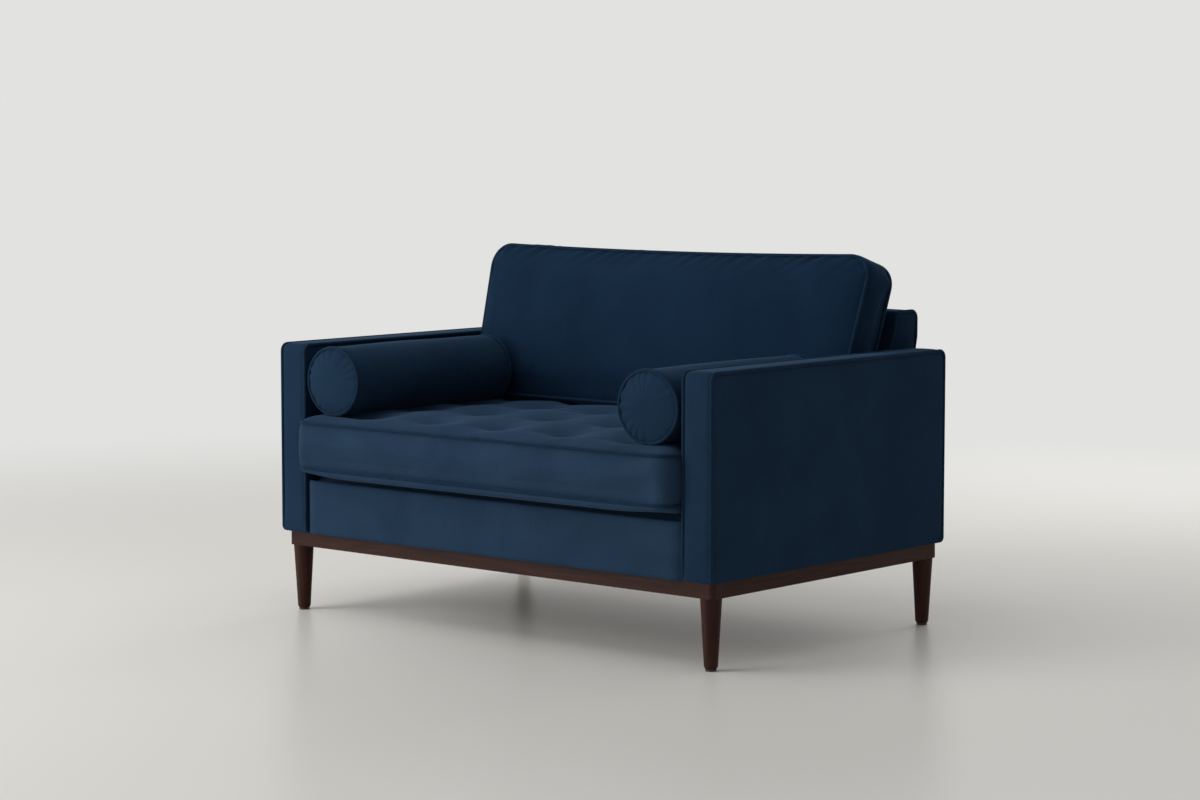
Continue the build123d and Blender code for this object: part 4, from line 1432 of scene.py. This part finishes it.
@dataclass
class SeatCushion:
    """The loose seat cushion: boxed, piped round its edges and drawn down by blind tufts."""

    piping: SeamPiping
    zips: ZipChain
    boxing: float = 129 * MM         # from the deck to the top seam
    boxing_puff: float = 3.5 * MM
    low_seam: float = 19 * MM        # lower seam above the deck
    press: float = 1 * MM            # the underside presses this much into the deck
    crown: tuple[float, float] = (18 * MM, 1 * MM)       # in the middle and at the ends
    shoulder: tuple[float, float] = (5 * MM, 12 * MM)    # height and reach of the top's edge
    under_reach: float = 5.5 * MM    # how fast the underside rounds over
    corner_lift: float = 0.6         # share by which the underside's front corners lift
    corner_reach: tuple[float, float] = (90 * MM, 45 * MM)
    front_radius: float = 45 * MM
    rear_radius: float = 15 * MM
    pitch: float = 11 * MM
    tuft_columns: int = 5
    tuft_rows: int = 4
    tuft_pitch: tuple[float, float] = (200 * MM, 176 * MM)
    tuft_depth: float = 9 * MM
    tuft_spread: float = 50 * MM
    tuft_pull: float = 7 * MM        # the deeper middle of each tuft
    pull_spread: float = 20 * MM
    zip_length: float = 900 * MM
    gathers: tuple[float, float, float] = (0.5 * MM, 14 * MM, 40 * MM)   # height, reach, wave
    seam_draw: float = 4.0 * MM
    belly: float = 9.0 * MM          # the underside swells out below the front seam
    belly_reach: float = 7 * MM
    belly_fade: float = 90 * MM

    def __post_init__(self) -> None:
        """Takes the cushion's place from the frame."""
        self.low, self.high = node_box("seat_cushion_cover")
        self.middle = (self.low + self.high) / 2
        self.seam = self.low[2] + self.boxing

    def place(self, local: np.ndarray) -> np.ndarray:
        """Row-frame places of local ones: u runs right, v to the rear and w down from the top."""
        return np.column_stack([local[:, 0], self.middle[1] + local[:, 1], self.seam - local[:, 2]])

    def tufts(self) -> np.ndarray:
        """Lays out the tufts.

        Returns:
            Where they are sewn, as (x, y) rows.
        """
        across = (np.arange(self.tuft_columns) - (self.tuft_columns - 1) / 2) * self.tuft_pitch[0]
        deep = (np.arange(self.tuft_rows) - (self.tuft_rows - 1) / 2) * self.tuft_pitch[1]
        return np.array([(x, self.middle[1] + y) for x in across for y in deep])

    def build(self, resting: Rule) -> None:
        """Makes the cover, its piping and its zip.

        Args:
            resting: the highest place of the top at each point, under what lies on it.
        """
        half = (self.high - self.low) / 2
        depth = self.boxing - self.low_seam
        level = self.boxing / 2
        case = SewnCase(half[0], half[1], depth, self.front_radius, self.rear_radius, self.pitch,
                        *SewnCase.slot_lines(self.zip_length, level))
        case.crown_face(False, *self.crown)
        case.round_face(False, *self.shoulder)
        from_end = (1 - np.abs(case.share_u)) * half[0]
        from_front = (1 + case.share_v) * half[1]
        beside = bell(from_end, self.corner_reach[0])
        overhang = bell(from_front, self.corner_reach[1])
        below = (self.low_seam + self.press) * (1 - self.corner_lift * beside * overhang)
        case.round_face(True, below, self.under_reach)
        case.swell_rim(True, self.belly * bell(from_front, self.belly_fade), self.belly_reach)
        case.bulge_boxing(self.boxing_puff)
        case.gather(*self.gathers, SEED + 30)
        case.pinch(self.seam_draw)
        sunk = case.slot(True, self.zip_length, level)
        upper = case.face_points(False)
        places = self.place(case.points[upper])[:, :2]
        gap = np.linalg.norm(places[:, None] - self.tufts()[None], axis=2)
        near = gap.min(1)
        case.raise_face(False, -self.tuft_depth * bell(near, self.tuft_spread))
        case.raise_face(False, -self.tuft_pull * bell(near, self.pull_spread))
        cover = new_piece("seat_cushion_velvet", self.place(case.points), case.quads.tolist(),
                          VELVET, closed=True)
        under = np.arange(case.face_count, 2 * case.face_count)
        held = np.concatenate([case.front_seam, case.rear_seam, under, gap.argmin(0), sunk])
        points = Stuffing(pressure=5.0).fill(cover, held, np.flatnonzero(near < 1.5 * self.pitch))
        points[:, 0] = between_arms(points[:, 0])
        points[:, 2] = np.maximum(points[:, 2], self.low[2])
        points[upper, 2] = np.minimum(points[upper, 2], resting(points[upper]))
        set_points(cover, points)
        finer(cover)
        upholster(cover, "seat_cushion", 0.8, "seat_cushion_cover", "seat_cushion_core",
                  "seat_tuft_ties")

        u, v, sink = half[0] - PIPED.sink, half[1] - PIPED.sink, PIPED.sink
        front, rear = self.front_radius - sink, self.rear_radius - sink
        path = rounded_path([(-u, -v), (u, -v), (u, v), (-u, v)], [front, front, rear, rear],
                            PIPED.step)
        seams = [self.place(at_level(path, w)) for w in (sink, depth - sink)]
        self.piping.sew("seat_cushion_piping_cord", seams, "seat_cushion", "seat_cushion_piping")
        face = self.place(np.array([[0.0, half[1], level]]))[0]
        self.zips.sew("seat_cushion", face, np.array([0.0, 1.0, 0.0]), self.zip_length)


@dataclass
class BackCushion:
    """The loose back cushion: boxed, piped, leaning on the back rest and standing on the seat."""

    piping: SeamPiping
    zips: ZipChain
    lean: float = math.atan(0.3)
    boxing: float = 96 * MM
    boxing_puff: float = 3 * MM
    foot: tuple[float, float] = (150 * MM, 480.2 * MM)   # place and height of the front seam
    seam_top: float = 846 * MM
    foot_slope: float = 0.1
    crown: tuple[float, float] = (30 * MM, 2 * MM)       # in the middle and at the sides
    rear_crown: tuple[float, float] = (5 * MM, 1 * MM)
    shoulder: tuple[float, float] = (4 * MM, 10 * MM)    # height and reach of the front's edge
    corner: float = 58 * MM
    low_corner: float = 14 * MM
    piped_corner: float = 8 * MM     # the piping's lower corners
    pitch: float = 10 * MM
    zip_length: float = 800 * MM
    gathers: tuple[float, float, float] = (12 * MM, 22 * MM, 44 * MM)    # height, reach, wave
    gather_slant: float = -1.0
    gather_least: float = 0.15       # gathers fade from the top seam down to this share, cubed
    seam_draw: float = 3.6 * MM
    flare: float = 0.025             # spread above the arms
    arm_hold: float = 3 * MM         # the arms hold it in up to this far above them
    ears: tuple[float, float, float] = (5 * MM, -1.5 * MM, 9 * MM)   # top seam from left to right

    def __post_init__(self) -> None:
        """Works out the cushion's own directions."""
        self.half = float(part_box("back_cushion_cover")[1][0])
        self.arm_top = float(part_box("right_arm_cover")[1][2])
        cos, sin = math.cos(self.lean), math.sin(self.lean)
        self.height = (self.seam_top - self.foot[1]) / cos
        self.rear_low = self.boxing * (sin - self.foot_slope * cos) / (cos + self.foot_slope * sin)

    def place(self, local: np.ndarray) -> np.ndarray:
        """Row-frame places of local ones.

        Args:
            local: rows of u to the right, v up the lean and w to the rear.

        Returns:
            The places, with the cushion's spread and ears above the arms.
        """
        c, s = math.cos(self.lean), math.sin(self.lean)
        u, w = local[:, 0], local[:, 2]
        low = self.rear_low * np.clip(w / self.boxing, 0, 1)
        v = low + (local[:, 1] + self.height / 2) * (self.height - low) / self.height
        above = self.foot[1] + v * c - self.arm_top
        free = np.clip(above / (self.seam_top - self.arm_top), 0, 1)
        left, middle, right = self.ears
        across = u / self.half
        tilt, bow = (right - left) / 2, (left + right) / 2 - middle
        v = v + free ** 2 * (middle + tilt * across + bow * across ** 2)
        x = u * (1 + self.flare * free)
        return np.column_stack([x, self.foot[0] + v * s + w * c, self.foot[1] + v * c - w * s])

    def build(self, standing: Rule) -> None:
        """Makes the cover, its piping and its zip.

        Args:
            standing: the lowest place of the foot at each point, over what it stands on.
        """
        level = self.boxing / 2
        case = SewnCase(self.half, self.height / 2, self.boxing, self.low_corner, self.corner,
                        self.pitch, *SewnCase.slot_lines(self.zip_length, level))
        case.crown_face(False, *self.crown)
        case.round_face(False, *self.shoulder)
        case.crown_face(True, *self.rear_crown)
        case.bulge_boxing(self.boxing_puff)
        top = np.clip(case.rim[:, 1] / case.half_v, self.gather_least, 1) ** 3
        case.gather(*self.gathers, SEED + 40, top, self.gather_slant)
        case.pinch(self.seam_draw)
        sunk = case.slot(False, self.zip_length, level)
        cover = new_piece("back_cushion_velvet", self.place(case.points), case.quads.tolist(),
                          VELVET_DOWN_PAINTED_SHADE, closed=True)
        held = np.concatenate([case.front_seam, case.rear_seam, sunk])
        points = Stuffing(pressure=4.0).fill(cover, held)
        beside = points[:, 2] < self.arm_top + self.arm_hold
        points[:, 0] = np.where(beside, between_arms(points[:, 0]), points[:, 0])
        points[:, 1] = np.minimum(points[:, 1], self.rest_face(points) - ROOM)
        points[:, 2] = np.maximum(points[:, 2], standing(points))
        set_points(cover, points)
        finer(cover)
        upholster(cover, "back_cushion", 0.7, "back_cushion_cover", "back_cushion_core")

        sink = PIPED.sink
        u, v = self.half - sink, self.height / 2 - sink
        low, high = self.piped_corner, self.corner - sink
        foot = -self.height / 2 + 2 * PIPED.radius
        path = rounded_path([(-u, foot), (u, foot), (u, v), (-u, v)], [low, low, high, high],
                            PIPED.step)
        seams = [self.place(at_level(path, w)) for w in (sink, self.boxing - sink)]
        self.piping.sew("back_cushion_piping_cord", seams, "back_cushion", "back_cushion_piping")
        face = self.place(np.array([[0.0, -self.height / 2, level]]))[0]
        down = np.array([0.0, -self.foot_slope, -1.0]) / math.hypot(1, self.foot_slope)
        self.zips.sew("back_cushion", face, down, self.zip_length)

    @staticmethod
    def rest_face(points: np.ndarray) -> np.ndarray:
        """Finds the back rest's front face.

        Args:
            points: places beside it.

        Returns:
            How far back the face lies at each point's height.
        """
        high = node_box("back_cover")[1]
        foot_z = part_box("deck_cover")[1][2]
        slope = (BackRest.foot_depth - BackRest.top_depth) / (high[2] - foot_z)
        rise = np.clip(points[:, 2] - foot_z, 0, high[2] - foot_z)
        return high[1] - BackRest.foot_depth + slope * rise


@dataclass
class Bolster:
    """A round bolster along an arm: a stuffed roll with piped, gathered ends."""

    side: Side
    piping: SeamPiping
    around: int = 128
    pitch: float = 13 * MM
    dome: float = 12 * MM
    dome_power: float = 2.2
    barrel: float = 2.0 * MM
    gathers: int = 17
    fold: float = 4.2 * MM
    end_fade: float = 15 * MM        # how far the gathers run in over the ends
    wall_fade: float = 16 * MM       # and along the wall
    fold_start: tuple[float, float] = (4 * MM, 8 * MM)   # they grow over this, end and wall
    wall_fold: float = 0.3           # share of the gathers that the wall shows
    squash: float = 0.97             # the roll settles under its own weight
    seam_draw: float = 4.2 * MM
    groove: float = 5.5 * MM
    cord: float = 4.0 * MM
    cord_sink: float = 1.0 * MM
    cord_proud: float = 1.6 * MM     # the frame's rings stand out this far from the roll
    swell: float = 1.0 * MM
    swell_size: float = 220 * MM
    swell_fade: float = 25 * MM
    inwards: float = 5.0 * MM        # room that the roll leaves beside its arm

    FAR_UP = 10.0                    # a height above everything

    def __post_init__(self) -> None:
        """Takes the bolster's place from its piping rings in the frame."""
        low, high = node_box(f"{self.side.word}_bolster_piping")
        self.axis_x = (low[0] + high[0]) / 2 - self.side.value * self.inwards
        self.axis_z = (low[2] + high[2]) / 2
        self.radius = (high[2] - low[2]) / 2 - self.cord_proud
        self.middle = (low[1] + high[1]) / 2
        self.half = (high[1] - low[1]) / 2 - self.cord_proud
        self.bottom = low[2]
        self.angle = np.linspace(0, 2 * math.pi, self.around, endpoint=False)

    def ring(self, radius: float, along: float) -> np.ndarray:
        """Points of a ring round the roll's axis, at a place along it."""
        return np.column_stack([self.axis_x + radius * np.cos(self.angle),
                                np.full(self.around, self.middle + along),
                                self.axis_z + radius * np.sin(self.angle)])

    def settled(self, points: np.ndarray) -> np.ndarray:
        """Lets the roll settle on its lower side."""
        points[:, 2] = self.bottom + (points[:, 2] - self.bottom) * self.squash
        return points

    def underside(self, points: np.ndarray) -> np.ndarray:
        """Height of the bolster's lower side.

        Args:
            points: places under it or beside it.

        Returns:
            The height over each point, far up where the bolster doesn't reach.
        """
        x = points[:, 0] - self.axis_x
        reach = self.radius + self.barrel
        inside = (np.abs(x) < reach) & (np.abs(points[:, 1] - self.middle) < self.half + self.dome)
        drop = np.sqrt(np.maximum(reach ** 2 - x ** 2, 0))
        height = self.bottom + (self.axis_z - drop - self.bottom) * self.squash
        return np.where(inside, height, self.FAR_UP)

    def folds(self) -> np.ndarray:
        """The gathers round a seam: sharp valleys, uneven in place and in depth.

        Returns:
            Their share of the fold's height at each angle.
        """
        angle = self.angle
        rng = np.random.default_rng(SEED + 60 + self.side.value)
        a, b, c, d = (rng.uniform(0, 6) for _ in range(4))
        wander = 0.8 * np.sin(3 * angle + a) + 0.5 * np.sin(5 * angle + b)
        depth = 0.55 + 0.45 * np.sin(2 * angle + c) * np.sin(3 * angle + d)
        return (2 * np.abs(np.sin(self.gathers * angle / 2 + wander)) - 1) * depth

    def rings(self) -> tuple[list[tuple[float, float]], list[tuple[np.ndarray, np.ndarray]],
                             list[int]]:
        """The roll's rings from the middle of its front end to the middle of its rear end.

        Returns:
            Radius and place along the axis of each ring, how far gathers move its points along
            these two, and the ring numbers of the two seams.
        """
        folds, flat = self.folds(), np.zeros(self.around)
        ends, end_folds = [], []
        inner, *beside = (self.radius - gap * MM for gap in (10.5, 7, 4, 0))
        count = 8                    # rings from the middle of an end to beside its seam
        for r in (*np.linspace(inner / count, inner, count), *beside):
            edge = self.radius - r
            height = self.half + self.dome * (1 - (r / self.radius) ** self.dome_power)
            sink = self.seam_draw * bell(edge, self.groove)
            ends.append((r - (self.seam_draw if edge == 0 else 0), height - sink))
            free = math.exp(-edge / self.end_fade) * min(1.0, edge / self.fold_start[0])
            end_folds.append((flat, self.fold * folds * free))
        walls, wall_folds = [], []
        for along in grid_lines(-self.half, self.half, self.pitch)[1:-1]:
            near = self.half - abs(along)
            wall = self.radius + self.barrel * (1 - (along / self.half) ** 2)
            walls.append((wall - self.seam_draw * bell(near, self.groove), along))
            free = math.exp(-near / self.wall_fade) * min(1.0, near / self.fold_start[1])
            wall_folds.append((self.wall_fold * self.fold * folds * free, flat))
        rows = [(r, -height) for r, height in ends] + walls + ends[::-1]
        moves = [(out, -along) for out, along in end_folds] + wall_folds + end_folds[::-1]
        return rows, moves, [len(ends) - 1, len(ends) + len(walls)]

    def build(self, standing: Rule) -> None:
        """Makes the cover and its piping.

        Args:
            standing: the lowest place of the roll at each point, over the seat.
        """
        rows, moves, seams = self.rings()
        tips = [np.array([[self.axis_x, self.middle + sign * (self.half + self.dome), self.axis_z]])
                for sign in (-1, 1)]
        points = np.concatenate([tips[0], *(self.ring(*row) for row in rows), tips[1]])
        body = f"{self.side.word}_bolster"
        cover = new_piece(f"{body}_velvet", points, self.faces(len(rows)), VELVET_ASIDE_PAINTED_SHADE,
                          closed=True)
        held = np.concatenate([1 + k * self.around + np.arange(self.around) for k in seams])
        points = Stuffing(pressure=3.0, cap=4 * MM, rounds=1).fill(cover, held)
        for k, (out, along) in enumerate(moves):
            ring = slice(1 + k * self.around, 1 + (k + 1) * self.around)
            inside = self.half - min(abs(rows[k][1]), self.half)
            free = 1 - np.exp(-inside / self.swell_fade)
            out = out + self.swell * free * drift(points[ring], self.swell_size, SEED + 64)
            points[ring] += np.column_stack([out * np.cos(self.angle), along,
                                             out * np.sin(self.angle)])
        points = self.settled(points)
        points[:, 2] = np.maximum(points[:, 2], standing(points))
        points[:, 0] = between_arms(points[:, 0])
        set_points(cover, points)
        finer(cover)
        upholster(cover, body, 0.85, f"{body}_cover", f"{body}_core")

        radius, end = self.radius - self.cord_sink, self.half - self.cord_sink
        lines = [self.settled(self.ring(radius, sign * end)) for sign in (-1, 1)]
        self.piping.sew(f"{body}_piping_cord", lines, body, f"{body}_piping", radius=self.cord)

    def faces(self, rings: int) -> list[tuple[int, ...]]:
        """The roll's faces: a fan at each end and quads between the rings.

        Args:
            rings: how many rings the roll has.

        Returns:
            Vertex numbers of each face.
        """
        n = self.around
        made: list[tuple[int, ...]] = []
        last = rings * n + 1
        for i in range(n):
            j = (i + 1) % n
            made.append((0, 1 + i, 1 + j))
            made.append((last, last - n + j, last - n + i))
            for k in range(rings - 1):
                a = 1 + k * n
                made.append((a + i, a + n + i, a + n + j, a + j))
        return made


class Plinth:
    """Wooden rails and legs, and everything else that keeps the frame's own shape."""

    def build(self) -> None:
        """Dresses the frame's nodes in their finishes, with the grain along each piece."""
        slots = {part["node"]: part["material_slot"] for part in frame["record"]["subparts"]}
        for name, obj in frame["nodes"].items():
            finish = SLOT_FINISHES[slots[name]]
            if name.endswith("_leg"):
                finish = STAINED_Z
            elif name in ("base_left_rail", "base_right_rail"):
                finish = STAINED_Y
            obj.data.materials.clear()
            obj.data.materials.append(finish.material())
        LOG.info("dressed %d nodes of the frame", len(slots))


def shown(tree: Tree) -> Socket:
    """Tells what is seen from what only lights.

    Args:
        tree: the node tree.

    Returns:
        A socket that is 1 where the eye, a reflection or a clear piece shows the surface.
    """
    path = add_node(tree, "ShaderNodeLightPath").outputs
    seen = maths(tree, "MAXIMUM", path["Is Camera Ray"], path["Is Glossy Ray"])
    return maths(tree, "MAXIMUM", seen, path["Is Transmission Ray"])


@dataclass(frozen=True)
class Backdrop(Finish):
    """A pale floor with a slight sheen, which fades into the backdrop's colour."""

    floor: str = "#eeeae2"
    wall: str = "#e2e2e0"
    fade: tuple[float, float] = (1.3, 4.5)   # distance where the fade starts and ends

    def shader(self, tree: Tree, place: Socket) -> Socket:
        """Satin near the sofa and the backdrop's even colour far from it."""
        far = add_node(tree, "ShaderNodeVectorMath", {0: place}, operation="LENGTH")
        fade = ranged(tree, far.outputs["Value"], 0.0, 1.0, *self.fade,
                      interpolation_type="SMOOTHSTEP")
        satin = surface(tree, {
            "Base Color": linear(self.floor), "Roughness": 0.33, "Specular IOR Level": 0.11})
        glow = add_node(tree, "ShaderNodeEmission", {"Color": linear(self.wall), "Strength": 1.0})
        return add_node(tree, "ShaderNodeMixShader", {
            0: maths(tree, "MULTIPLY", fade, shown(tree)), 1: satin, 2: glow.outputs[0]}).outputs[0]


PALE_FLOOR = Backdrop("pale floor")


class Studio:
    """Pale floor, soft light and the camera."""

    FLOOR_REACH = 30.0
    FILL = "#eef1f6"
    FILL_STRENGTH = 0.34
    AIM_HEIGHT = 0.4
    CAMERA_PLACE = (4.5335, -5.2554, 1.1588)
    CAMERA_TURN = (84.66, 0.0, 40.82)
    LENS = 90.27
    SENSOR = 36.0

    def build(self) -> None:
        """Makes the stage."""
        self.floor()
        self.world()
        self.lamp("window", (-2.9, -4.4, 1.6), 3.0, 150.0)
        self.lamp("ceiling", (-0.9, -1.6, 3.6), 3.2, 42.0)
        wall = self.lamp("wall", (-0.3, 3.9, 1.8), 3.0, 54.0)
        wall.visible_glossy = False  # no glare on the floor
        self.camera()
        bpy.context.scene.view_settings.view_transform = "Standard"

    def floor(self) -> None:
        """Lays the floor."""
        reach = self.FLOOR_REACH
        corners = [(-reach, -reach, 0), (reach, -reach, 0), (reach, reach, 0), (-reach, reach, 0)]
        new_piece("floor", np.array(corners), [(0, 1, 2, 3)], PALE_FLOOR)

    def world(self) -> None:
        """Even fill light, with the backdrop's colour where the camera sees it."""
        world = bpy.data.worlds.new("studio")
        bpy.context.scene.world = world
        tree = blank_tree(world)
        fill, back = (add_node(tree, "ShaderNodeBackground", {
            "Color": linear(code), "Strength": strength}).outputs[0]
            for code, strength in ((self.FILL, self.FILL_STRENGTH), (PALE_FLOOR.wall, 1.0)))
        mix = add_node(tree, "ShaderNodeMixShader", {0: shown(tree), 1: fill, 2: back})
        add_node(tree, "ShaderNodeOutputWorld", {"Surface": mix.outputs[0]})

    def lamp(self, name: str, place: tuple[float, float, float], size: float,
             power: float) -> Piece:
        """A soft square lamp that points at the sofa.

        Args:
            name: the lamp's name.
            place: where it hangs.
            size: the length of its sides.
            power: its power in watts.

        Returns:
            The lamp.
        """
        data = bpy.data.lights.new(name, "AREA")
        data.size = size
        data.energy = power
        lamp = link(name, data)
        lamp.location = place
        aim = lamp.location.copy()
        aim.z -= self.AIM_HEIGHT
        lamp.rotation_euler = aim.to_track_quat("Z", "Y").to_euler()
        return lamp

    def camera(self) -> None:
        """The photograph's viewpoint."""
        data = bpy.data.cameras.new("camera")
        data.sensor_width = self.SENSOR
        data.lens = self.LENS
        camera = link("camera", data)
        camera.location = self.CAMERA_PLACE
        camera.rotation_euler = [math.radians(angle) for angle in self.CAMERA_TURN]
        bpy.context.scene.camera = camera


def main() -> None:
    """Builds the sofa's looks in order."""
    logging.basicConfig(level=logging.INFO, format="%(name)s: %(message)s")
    piping, zips = SeamPiping(), ZipChain()
    Plinth().build()
    for side in Side:
        Arm(side, piping).build()
    BackRest(piping).build()
    SeatBox().build()

    bolsters = [Bolster(side, piping) for side in Side]
    back = BackCushion(piping, zips)
    seat = SeatCushion(piping, zips)
    gap = 0.4 * MM                   # the seat's top stays this far below the bolsters

    def seat_limit(points: np.ndarray) -> np.ndarray:
        """The seat's top stays below the bolsters that lie on it."""
        return np.minimum(bolsters[0].underside(points), bolsters[1].underside(points)) - gap

    def over_seat(points: np.ndarray) -> np.ndarray:
        """What lies on the seat stays above its top seam."""
        return np.full(len(points), seat.seam)

    seat.build(seat_limit)
    back.build(over_seat)
    for bolster in bolsters:
        bolster.build(over_seat)
    Studio().build()


if __name__ == "__main__":
    main()
